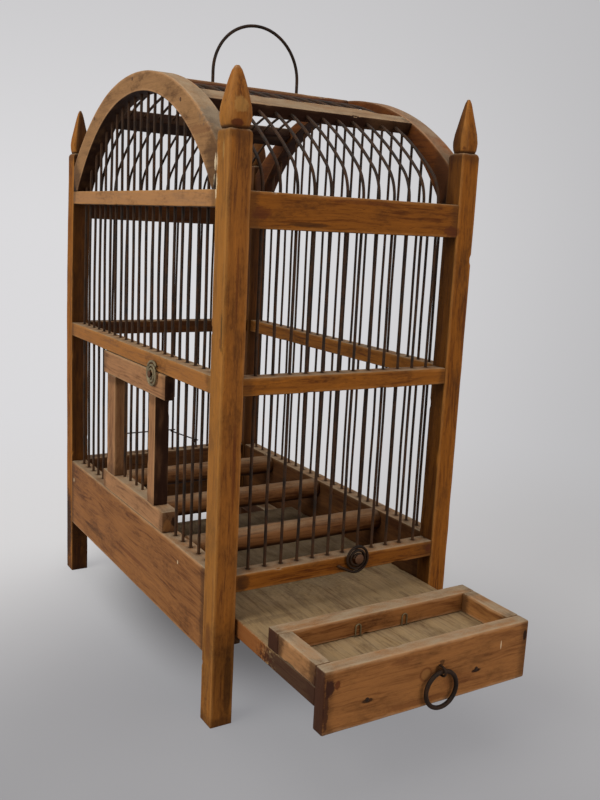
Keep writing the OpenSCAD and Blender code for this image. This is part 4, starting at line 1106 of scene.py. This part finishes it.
def build_arch(node, seed, tone, material):
    """Arch sawn from a plank: its grain runs straight along the cage."""
    shape = bpy.context.scene.cage_shape
    low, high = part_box(node)
    crown_y, outer_halves, inner_halves = arch_outline(node)
    shell = Shell()
    stops = [(i / ARCH_STEPS, arch_curve(crown_y, outer_halves, i / ARCH_STEPS))
             for i in range(ARCH_STEPS + 1)]
    stops = [(0.0, np.array([low.y, low.z])), *stops, (1.0, np.array([high.y, low.z]))]
    rings = []
    for share, outer in stops:
        inner = arch_curve(crown_y, inner_halves, share)
        depth = np.linalg.norm(outer - inner)
        rise = (outer - inner) / depth
        middle = (outer + inner) / 2
        points, grains, edges = [], [], []
        for spot, out, near, _ in section(high.x - low.x, depth, shape.edge_radius, 2, 3):
            rough = (low.x + spot[0], *(middle + rise * spot[1]))
            spot = spot - out * shape.tool_marks * dented(rough, 18 * MM, seed)
            y, z = middle + rise * spot[1]
            x = (low.x + high.x) / 2 + spot[0]
            points.append(np.array([x, y, z]))
            grains.append(np.array([y, z, x]) / MM + grain_shift(seed))
            edges.append(near)
        rings.append(shell.ring(points, grains, max(0.0, 1 - min(share, 1 - share) * 14), edges))
    shell.loft(rings)
    publish(shell, node, "arch_wood", tone, material)


def roof_circle():
    """Outer radius of the right arch, which the battens and roof wires follow, and its middle."""
    radius = arch_outline("arch_right")[1][0][0]
    return radius, ARCH_CROWN_Z - radius


def build_batten(node, seed, trim=None):
    """Roof batten, lying on the arches' curve."""
    low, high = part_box(node)
    middle = (low + high) / 2
    angle = math.asin((middle.y - RIDGE_Y) / (roof_circle()[0] - BATTEN_THICKNESS / 2))
    side = Vector((0, math.cos(angle), -math.sin(angle)))
    shell = Shell()
    bar(shell, (high.x - low.x, BATTEN_WIDTH, BATTEN_THICKNESS),
        axes_matrix(middle, (1, 0, 0), side), seed, nicks=5, trim=trim)
    publish(shell, node, "roof_wood", 0.2)


def pared_batten(reach):
    """Front batten, pared thinner towards its right end."""
    low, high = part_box("roof_batten_front")
    start, end = high.x - low.x - 34 * MM, high.x - low.x - 22 * MM
    return (0, 4 * MM * float(smooth_step(reach, start, end)), 0, 0)


class CAGE_OT_roof(bpy.types.Operator):
    """Arches, battens and crown board"""

    bl_idname = "cage.roof"
    bl_label = "Arches and roof"

    def execute(self, context):
        build_arch("arch_left", 51, 0.2, "arch_wood")
        build_arch("arch_right", 52, 0.0, "far_arch_wood")
        build_batten("roof_batten_front", 53, pared_batten)
        build_batten("roof_batten_back", 54)
        build_bar("crown_board", "x", "roof_wood", 55, material="crown_wood", nicks=5)
        return {"FINISHED"}


# ---------- wires ----------


def swayed(path, seed, holds, sway):
    """Path of a wire that bows a little between the rails that hold it."""
    made = []
    for point in path:
        free = 0.0
        for low, high in zip(holds, holds[1:]):
            if low < point[2] < high:
                free = math.sin(math.pi * (point[2] - low) / (high - low))
        drift = [rough_noise(point, 90 * MM, number) for number in (seed, seed + 40)]
        made.append(point + sway * free * np.array([*drift, 0]))
    return made


def upright(x, y, low, high):
    return line((x, y, low), (x, y, high), max(4, round((high - low) / (8 * MM))))


def roof_path(x, foot_z, back):
    """Wire from its foot up the wall, through its tight bend and along the roof's arc."""
    radius, roof_z = roof_circle()
    radius -= BATTEN_THICKNESS / 2
    wire_y = POST_LOW.y + WIRE_INSET
    start = RAIL_TOP + BEND_START
    run = RIDGE_Y - wire_y
    rise = start - roof_z
    bend = (radius ** 2 - run ** 2 - rise ** 2) / (2 * (radius - run))
    turned = math.pi - math.atan2(rise, run - bend)
    low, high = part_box("crown_board")
    last = math.pi / 2 + math.asin(((high.y - low.y) / 2 - CROWN_SEAT) / radius)
    path = joined(upright(x, wire_y, foot_z, start),
                  arc((x, wire_y + bend, start), bend, SIDE_ON, math.pi, turned, 12),
                  arc((x, RIDGE_Y, roof_z), radius, SIDE_ON, turned, last, 18))
    return [np.array([p[0], 2 * RIDGE_Y - p[1] if back else p[1], p[2]]) for p in path]


def build_wires(node, axis, seed, rails, sway):
    """Wires of one node, where its solids have them and as thick; rails are the heights of
    what holds a wire between its ends. The front and back wires go on over the roof."""
    shell = Shell()
    for number, (low, high, _) in enumerate(strands(node, axis), seed):
        x, y = (low[:2] + high[:2]) / 2
        if axis == 0:
            path, holds = roof_path(x, low[2], node == "back_wires"), (low[2], *rails)
        else:
            path, holds = upright(x, y, low[2], high[2]), (low[2], *rails, high[2])
        tube(shell, swayed(path, number, holds, sway), (high[0] - low[0]) / 2, number)
    publish(shell, node, "wall_wire")


class CAGE_OT_wires(bpy.types.Operator):
    """Wall and roof wires, the door's hinge wire and the thin lacing wire"""

    bl_idname = "cage.wires"
    bl_label = "Wires"

    def execute(self, context):
        sway = context.scene.cage_shape.wire_sway
        for seed, node in ((60, "front_wires"), (80, "back_wires")):
            build_wires(node, 0, seed, (MIDDLE_Z, RAIL_TOP - 10 * MM, RAIL_TOP), sway)
        for seed, node in ((100, "left_wires"), (130, "right_wires"), (160, "door_hinge_wire")):
            build_wires(node, 1, seed, (MIDDLE_Z, RAIL_TOP - 5 * MM), 0 if seed == 160 else sway)
        build_lacing()
        return {"FINISHED"}


LACING_RADIUS = 0.65 * MM
LACING_RISE = 2.4 * MM
LACING_STEPS = 40
WALL_WIRE_RADIUS = 1.1 * MM
LACING_GAP = 0.12 * MM


def build_lacing():
    """Thin wire: one turn round each of three back wires and the slack between them."""
    low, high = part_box("lacing_wire")
    walls = strands("back_wires", 0)
    reach = WALL_WIRE_RADIUS + LACING_RADIUS + LACING_GAP
    top = high.z - LACING_RADIUS - LACING_RISE / 2
    bottom = low.z + LACING_RADIUS + LACING_RISE / 2
    path = []
    turns = (3, top, LACING_RISE), (7, top, -LACING_RISE), (9, bottom, -LACING_RISE)
    for number, z, fall in turns:
        x = (walls[number - 1][0][0] + walls[number - 1][1][0]) / 2
        turn = arc((x, FAR_HIGH.y - WIRE_INSET, z), reach, FROM_ABOVE, -math.pi / 2,
                   3 * math.pi / 2, LACING_STEPS)
        path += [p + np.array([0, 0, fall * (i / LACING_STEPS - 0.5)]) for i, p in enumerate(turn)]
    build_wire("lacing_wire", path, LACING_RADIUS, 171)


def build_wire(node, path, radius, seed, **values):
    """Piece of dark wire along one path."""
    shell = Shell()
    tube(shell, path, radius, seed, **values)
    publish(shell, node, "dark_wire")


class CAGE_OT_bail(bpy.types.Operator):
    """Hanging bail, clinched under the crown board"""

    bl_idname = "cage.bail"
    bl_label = "Hanging bail"

    def execute(self, context):
        low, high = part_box("hanging_bail")
        wire = high.y - low.y
        bend = (high.x - low.x - wire) / 2
        x, y, _ = (low + high) / 2
        top = high.z - wire / 2 - bend
        foot = low.z + wire / 2
        clinch = 8 * MM
        left, right = x - bend, x + bend
        path = joined(line((left + clinch, y, foot), (left, y, foot), 3),
                      line((left, y, foot), (left, y, top), 5),
                      arc((x, y, top), bend, FACE_ON, math.pi, 0, 40),
                      line((right, y, top), (right, y, foot), 5),
                      line((right, y, foot), (right - clinch, y, foot), 3))
        build_wire("hanging_bail", path, wire / 2, 181, sides=12, rough=0.04)
        return {"FINISHED"}


# ---------- nails ----------

NAIL_SHANK = 1.8 * MM
# Shares of the head's thickness and of its radius, from its underside to its top.
DOMED_HEAD = ((1, 0.92), (0.8, 1), (0.45, 0.86), (0.15, 0.55), (0, 0.15))
FLAT_HEAD = ((1, 0.92), (0.8, 1), (0.2, 1), (0, 0.85))


def build_nails(node, axis, nail_length, head, thick, outline, ways=(-1,), material=None):
    """Nails of one node, at the places of its solids; ways are the directions in which the
    heads look along the axis, first on its low side and then on its high side."""
    shell = Shell()
    profile = [(-nail_length, 0.1 * NAIL_SHANK), (-nail_length + 2 * NAIL_SHANK, NAIL_SHANK / 2),
               (-thick, NAIL_SHANK / 2), *((-thick * t, head / 2 * r) for t, r in outline)]
    cross = [a for a in range(3) if a != axis]
    points = node_points(node)
    side = (points[:, axis] > 0) & (len(ways) > 1)
    left = np.ones(len(points), bool)
    seed = 190

    def near(middle, reach):
        away = np.abs(points[:, cross] - middle[cross]).max(axis=1)
        return (away < reach) & (side == side[first])

    while left.any():
        first = np.argmax(left)
        mine = points[near(points[first], 6 * MM)]
        tip, along = (mine.min(axis=0) + mine.max(axis=0)) / 2, [0, 0, 0]
        taken = near(tip, 5 * MM)
        along[axis] = ways[int(side[first])]
        face = points[taken, axis]
        tip[axis] = face.max() if along[axis] > 0 else face.min()
        lathe(shell, profile, axes_matrix(Vector(tip), along, (0, 0, 1)), seed)
        left &= ~taken
        left[first] = False
        seed += 1
    publish(shell, node, "nails", material=material)


class CAGE_OT_nails(bpy.types.Operator):
    """Nails of the roof, the drawer, the button and the latch"""

    bl_idname = "cage.nails"
    bl_label = "Nails"

    def execute(self, context):
        small = (26 * MM, 3.2 * MM, 1 * MM, FLAT_HEAD)
        build_nails("roof_nails", 0, *small, ways=(-1, 1))
        build_nails("drawer_nails", 1, *small, material="dark_wire")
        for node, axis in (("door_button_nail", 0), ("drawer_latch_nail", 1)):
            low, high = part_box(node)
            build_nails(node, axis, (high - low)[axis], high.z - low.z, 1.2 * MM, DOMED_HEAD)
        return {"FINISHED"}


# ---------- wound wires ----------

WINDING_GAP = 0.3 * MM
WINDING_TURNS = 2.8
WINDING_STEPS = 48
# A winding's own axes in the frame, where it lies on the left side or on the front.
ON_LEFT = Matrix(((0, 0, -1), (-1, 0, 0), (0, 1, 0)))
ON_FRONT = Matrix(((1, 0, 0), (0, 0, -1), (0, 1, 0)))


def winding(eye, rim, dome, end_angle, tail):
    """Flat winding in its own XY plane, from its raised eye to its rim and a straight tail."""
    count = round(WINDING_TURNS * WINDING_STEPS)
    path = []
    for i in range(count + 1):
        share = i / count
        angle = end_angle + 2 * math.pi * WINDING_TURNS * (1 - share)
        radius = eye + (rim - eye) * share
        x, y = radius * math.cos(angle), radius * math.sin(angle)
        path.append(Vector((x, y, dome * (1 - share))))
    out = Vector((math.cos(end_angle), math.sin(end_angle), 0))
    along = Vector((out.y, -out.x, 0))
    return path + [rim * out + tail * i / 4 * along for i in range(1, 5 if tail else 1)]


def build_winding(node, slot_name, wire, width, dome, end_angle, tail, eye_play, nail, axis,
                  turned):
    """Wound wire that turns on its nail, just off the wood; axis is the one that it faces."""
    low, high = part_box(nail)
    eye = NAIL_SHANK / 2 + wire / 2 + WINDING_GAP + eye_play
    path = winding(eye, (width - wire) / 2, dome, math.radians(end_angle), tail)
    middle = (low + high) / 2
    middle[axis] = POST_LOW[axis] - WINDING_GAP - wire / 2
    matrix = Matrix.Translation(middle) @ turned.to_4x4()
    shell = Shell()
    tube(shell, [matrix @ p for p in path], wire / 2, 201, sides=12, rough=0.08)
    publish(shell, node, slot_name)


class CAGE_OT_windings(bpy.types.Operator):
    """Wound button of the door and wound latch of the drawer"""

    bl_idname = "cage.windings"
    bl_label = "Button and latch"

    def execute(self, context):
        build_winding("door_button", "button_wire", 1.9 * MM, 21.5 * MM, 0.9 * MM, 40, 0, 0,
                      "door_button_nail", 0, ON_LEFT)
        build_winding("drawer_latch", "dark_wire", 2.1 * MM, 22.5 * MM, 0.8 * MM, 243, 12.5 * MM,
                      0.6 * MM, "drawer_latch_nail", 1, ON_FRONT)
        return {"FINISHED"}


# ---------- perches ----------

WHITTLED = 0.667
PERCH_STEPS = 26


class CAGE_OT_perches(bpy.types.Operator):
    """Round perches between the base boards"""

    bl_idname = "cage.perches"
    bl_label = "Perches"

    def execute(self, context):
        for seed, node in enumerate(("perch_front", "perch_middle", "perch_back"), 211):
            low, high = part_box(node)
            middle = (low + high) / 2
            radius = (high.z - low.z) / 2
            half = (high.x - low.x) / 2
            shoulder = middle.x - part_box("base_board_left")[1].x
            run = shoulder - 1 * MM
            end = [(half, 0.9 * WHITTLED * radius), (shoulder, WHITTLED * radius),
                   (shoulder, 0.93 * radius)]
            profile = [(-reach, size) for reach, size in end]
            profile += [(2 * run * i / PERCH_STEPS - run, radius) for i in range(PERCH_STEPS + 1)]
            shell = Shell()
            lathe(shell, profile + end[::-1], axes_matrix(middle, (1, 0, 0), (0, 1, 0)), seed, 28,
                  0.7 * MM)
            shell.joint = [max(0.0, 1 - (shoulder - abs(p[0] - middle.x)) / (6 * MM))
                           for p in shell.points]
            publish(shell, node, "perch_wood")
        return {"FINISHED"}


# ---------- door ----------


def pared_lintel(reach):
    """Door's lintel, pared thinner at its near end."""
    return (0, 0, 0, 5.5 * MM * (1 - float(smooth_step(reach, 2 * MM, 12 * MM))))


class CAGE_OT_door(bpy.types.Operator):
    """Door leaf: two rails, two stiles and its own wires"""

    bl_idname = "cage.door"
    bl_label = "Door"

    def execute(self, context):
        build_bar("door_top_rail", "y", "door_wood", 221, 0.1, trim=pared_lintel, nicks=4)
        build_bar("door_bottom_rail", "y", "door_wood", 222, 0.2, material="sill_wood", nicks=4)
        # The far stile takes sill_wood, so its front face gets less painted shade than the near
        # stile's.
        for seed, side, material in ((231, "near", None), (232, "far", "sill_wood")):
            low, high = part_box("door_stile_" + side)
            low.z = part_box("door_bottom_rail")[1].z
            high.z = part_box("door_top_rail")[0].z
            build_bar("door_stile_" + side, "z", "door_wood", seed, -0.1, (low, high), material)
        build_wires("door_wires", 1, 241, (), context.scene.cage_shape.wire_sway)
        return {"FINISHED"}


# ---------- drawer ----------


class CAGE_OT_drawer(bpy.types.Operator):
    """Litter drawer: floor, front, box walls, small staples and the ring's staple"""

    bl_idname = "cage.drawer"
    bl_label = "Drawer"

    def execute(self, context):
        build_bar("drawer_floor", "y", "floor_wood", 251, pitch=7 * MM, nicks=6)
        build_bar("drawer_front", "x", "drawer_wood", 252, material="drawer_front", radius=1 * MM,
                  end_radius=0.9 * MM, nicks=6)
        build_bar("drawer_box_back", "x", "drawer_wood", 253, -0.2)
        build_bar("drawer_side_left", "y", "drawer_wood", 254, 0.4)
        build_bar("drawer_side_right", "y", "drawer_wood", 255, -0.15)
        self.small_staples()
        self.ring_staple()
        return {"FINISHED"}

    def small_staples(self):
        shell = Shell()
        radius, half = 0.5 * MM, 2 * MM
        low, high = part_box("drawer_staples")
        y = (low.y + high.y) / 2
        top = high.z - radius - half
        for seed, x in ((261, low.x + half + radius), (262, high.x - half - radius)):
            path = joined(line((x - half, y, low.z), (x - half, y, top), 4),
                          arc((x, y, top), half, FACE_ON, math.pi, 0, 12),
                          line((x + half, y, top), (x + half, y, low.z), 4))
            tube(shell, path, radius, seed, sides=8)
        publish(shell, "drawer_staples", "dark_wire", material="staple_wire")

    def ring_staple(self):
        low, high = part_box("ring_staple")
        radius = (high.x - low.x) / 2
        eye = (high.z - low.z) / 2 - radius
        x, _, z = (low + high) / 2
        y = low.y + radius + eye
        path = joined(line((x, high.y, z + eye), (x, y, z + eye), 4),
                      arc((x, y, z), eye, SIDE_ON, math.pi / 2, 3 * math.pi / 2, 16),
                      line((x, y, z - eye), (x, high.y, z - eye), 4))
        build_wire("ring_staple", path, radius, 271)


class CAGE_OT_ring(bpy.types.Operator):
    """Pull ring of the drawer"""

    bl_idname = "cage.ring"
    bl_label = "Pull ring"

    def execute(self, context):
        low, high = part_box("pull_ring")
        wire = high.y - low.y
        path = arc((low + high) / 2, (high.z - low.z - wire) / 2, FACE_ON, 0, 2 * math.pi, 72)
        build_wire("pull_ring", path[:-1], wire / 2, 281, sides=14, closed=True, rough=0.06)
        return {"FINISHED"}


# ---------- stage ----------

CAMERA_PLACE = Vector((-0.3417, -0.5963, 0.3361))
CAMERA_RIGHT = Vector((0.85466816, -0.51689605, 0.04858816))
CAMERA_FORWARD = Vector((0.51581502, 0.83478105, -0.1925499))
FLOOR_RADIUS = 12.0
POOL_MIDDLE = Vector((-0.13, -0.21, 0))
POOL_FADE = (0.14, 0.52)
WALL_FADE = (0.5, 1.1)
# Shades on the floor under and behind the cage: middle, half sizes, core and depth.
SHADES = (
    (Vector((0.01, 0.06, 0)), Vector((0.105, 0.17, 1.0)), 0.5, 0.6),
    (Vector((0.085, 0.165, 0)), Vector((0.185, 0.175, 1.0)), 0.1, 0.75),
)
SHADE_COLOUR = (0.02, 0.015, 0.012, 1)
SHEEN_WAY = Vector((0.22, 0.97, 0.0))
LAMP_SIZE = 1.6
LAMP_TARGET = Vector((0, 0, 0.2))


@once
def wall_group():
    """Brightness of the background seen in a direction: a soft glow, dimmer above and beside."""
    net, given, out = group("Wall tone", {"vector": "Direction", "colour": "Colour"},
                            {"colour": "Colour"})
    way = net.vector("NORMALIZE", given["Direction"])
    beside = net.ramp(net.vector("DOT_PRODUCT", way, SHEEN_WAY), 0.72, 1.0)
    above = net.ramp(net.channel(way, "Z"), -0.03, 0.3, 1.0, 0.45)
    glow = net.math("MULTIPLY_ADD", net.math("MULTIPLY", beside, above), 0.42, 0.94)
    net.feed(out["Colour"], net.scale(given["Colour"], glow))
    return net.tree


def floor_material(studio):
    """Pale floor that melts into the background a little way off."""
    material, net, shader = new_material("studio_floor")
    where = net.node("ShaderNodeTexCoord").outputs["Object"]
    reach = net.vector("DISTANCE", where, POOL_MIDDLE)
    cloudy = net.ramp(net.noise(where, 2.5), 0.35, 0.7)
    dim = tuple(0.93 * c for c in studio.floor_colour)
    near = net.mix(cloudy, rgb(dim), rgb(studio.floor_colour))
    tone = net.use(wall_group(), Direction=net.vector("SUBTRACT", where, CAMERA_PLACE),
                   Colour=rgb(studio.wall_colour))["Colour"]
    tint = net.mix(net.ramp(reach, *POOL_FADE), near, tone)
    for middle, half, core, depth in SHADES:
        under = net.vector("DIVIDE", net.vector("SUBTRACT", where, middle), half)
        shade = net.ramp(net.vector("LENGTH", under), 1.15, core, 0.0, depth)
        tint = net.mix(shade, tint, SHADE_COLOUR)
    for key, value in (("Base Color", tint), ("Roughness", 0.8), ("Specular IOR Level", 0.1)):
        net.feed(shader.inputs[key], value)
    seen = net.seen()
    glow, far_glow = (net.filled(net.node("ShaderNodeEmission"), light).outputs[0]
                      for light in (tint, tone))
    soft = net.shaders(net.math("MULTIPLY", seen, studio.floor_glow), shader.outputs[0], glow)
    far = net.math("MULTIPLY", net.ramp(reach, *WALL_FADE), seen)
    output = material.node_tree.nodes["Material Output"]
    net.feed(output.inputs["Surface"], net.shaders(far, soft, far_glow))
    return material


class CAGE_OT_stage(bpy.types.Operator):
    """Floor, background, lamps and camera"""

    bl_idname = "cage.stage"
    bl_label = "Studio"

    def execute(self, context):
        studio = context.scene.cage_studio
        bpy.ops.mesh.primitive_circle_add(vertices=96, radius=FLOOR_RADIUS, fill_type="NGON")
        floor = context.object
        floor.name = "studio_floor"
        floor.data.materials.append(floor_material(studio))
        self.world(context.scene, studio)
        for name, eye, power, colour in (
            ("key_lamp", (-1.7, -0.2, 1.3), studio.key_power, (1.0, 0.99, 0.91)),
            ("fill_lamp", (0.7, -1.8, 0.8), studio.fill_power, (1.0, 0.87, 0.77)),
            ("top_lamp", (0.0, 0.2, 2.0), studio.top_power, (1.0, 1.0, 1.0)),
        ):
            light = bpy.data.lights.new(name, "AREA")
            light.shape = "DISK"
            light.size = LAMP_SIZE
            light.energy = power
            light.color = colour
            lamp = bpy.data.objects.new(name, light)
            context.scene.collection.objects.link(lamp)
            lamp.location = eye
            lamp.rotation_euler = (LAMP_TARGET - Vector(eye)).to_track_quat("-Z", "Y").to_euler()
        camera_data = bpy.data.cameras.new("camera")
        camera_data.sensor_fit = "VERTICAL"
        camera_data.sensor_height = 36.0
        camera_data.lens = studio.lens
        camera_data.clip_start = 0.01
        camera = bpy.data.objects.new("camera", camera_data)
        context.scene.collection.objects.link(camera)
        back = -CAMERA_FORWARD.normalized()
        up = back.cross(CAMERA_RIGHT).normalized()
        turned = Matrix((up.cross(back), up, back)).transposed().to_4x4()
        camera.matrix_world = Matrix.Translation(CAMERA_PLACE) @ turned
        context.scene.camera = camera
        context.scene.view_settings.view_transform = "Standard"
        return {"FINISHED"}

    def world(self, scene, studio):
        scene.world = world = bpy.data.worlds.new("studio")
        world.use_nodes = True
        net = Net(world.node_tree)
        shine = world.node_tree.nodes["Background"]
        shine.inputs["Color"].default_value = (1.0, 0.95, 0.88, 1.0)
        shine.inputs["Strength"].default_value = 0.4
        way = net.node("ShaderNodeTexCoord").outputs["Generated"]
        tone = net.use(wall_group(), Direction=way, Colour=rgb(studio.wall_colour))
        backdrop = net.filled(net.node("ShaderNodeBackground"), tone["Colour"])
        net.feed(world.node_tree.nodes["World Output"].inputs["Surface"],
                 net.shaders(net.seen(), shine.outputs[0], backdrop.outputs[0]))


# ---------- add-on ----------

STEPS = (
    CAGE_OT_posts, CAGE_OT_rails, CAGE_OT_boards, CAGE_OT_roof, CAGE_OT_wires, CAGE_OT_bail,
    CAGE_OT_nails, CAGE_OT_windings, CAGE_OT_perches, CAGE_OT_door, CAGE_OT_drawer, CAGE_OT_ring,
    CAGE_OT_stage,
)


class CAGE_PT_sidebar(bpy.types.Panel):
    """Settings and steps of the cage"""

    bl_idname = "CAGE_PT_sidebar"
    bl_label = "Breeding cage"
    bl_space_type = "VIEW_3D"
    bl_region_type = "UI"
    bl_category = "Cage"

    def draw(self, context):
        for label in ("cage_shape", "cage_finish", "cage_studio"):
            settings = getattr(context.scene, label)
            box = self.layout.box()
            for key in settings.bl_rna.properties.keys():
                if key not in ("rna_type", "name"):
                    box.prop(settings, key)
        for step in STEPS:
            self.layout.operator(step.bl_idname)


CLASSES = (CageShape, CageFinish, CageStudio, *STEPS, CAGE_PT_sidebar)


def register():
    for cls in CLASSES:
        bpy.utils.register_class(cls)
    bpy.types.Scene.cage_shape = PointerProperty(type=CageShape)
    bpy.types.Scene.cage_finish = PointerProperty(type=CageFinish)
    bpy.types.Scene.cage_studio = PointerProperty(type=CageStudio)


def unregister():
    del bpy.types.Scene.cage_studio
    del bpy.types.Scene.cage_finish
    del bpy.types.Scene.cage_shape
    for cls in reversed(CLASSES):
        bpy.utils.unregister_class(cls)


def main():
    register()
    for step in STEPS:
        area, name = step.bl_idname.split(".")
        getattr(getattr(bpy.ops, area), name)()
    bpy.context.view_layer.update()


if __name__ == "__main__":
    main()
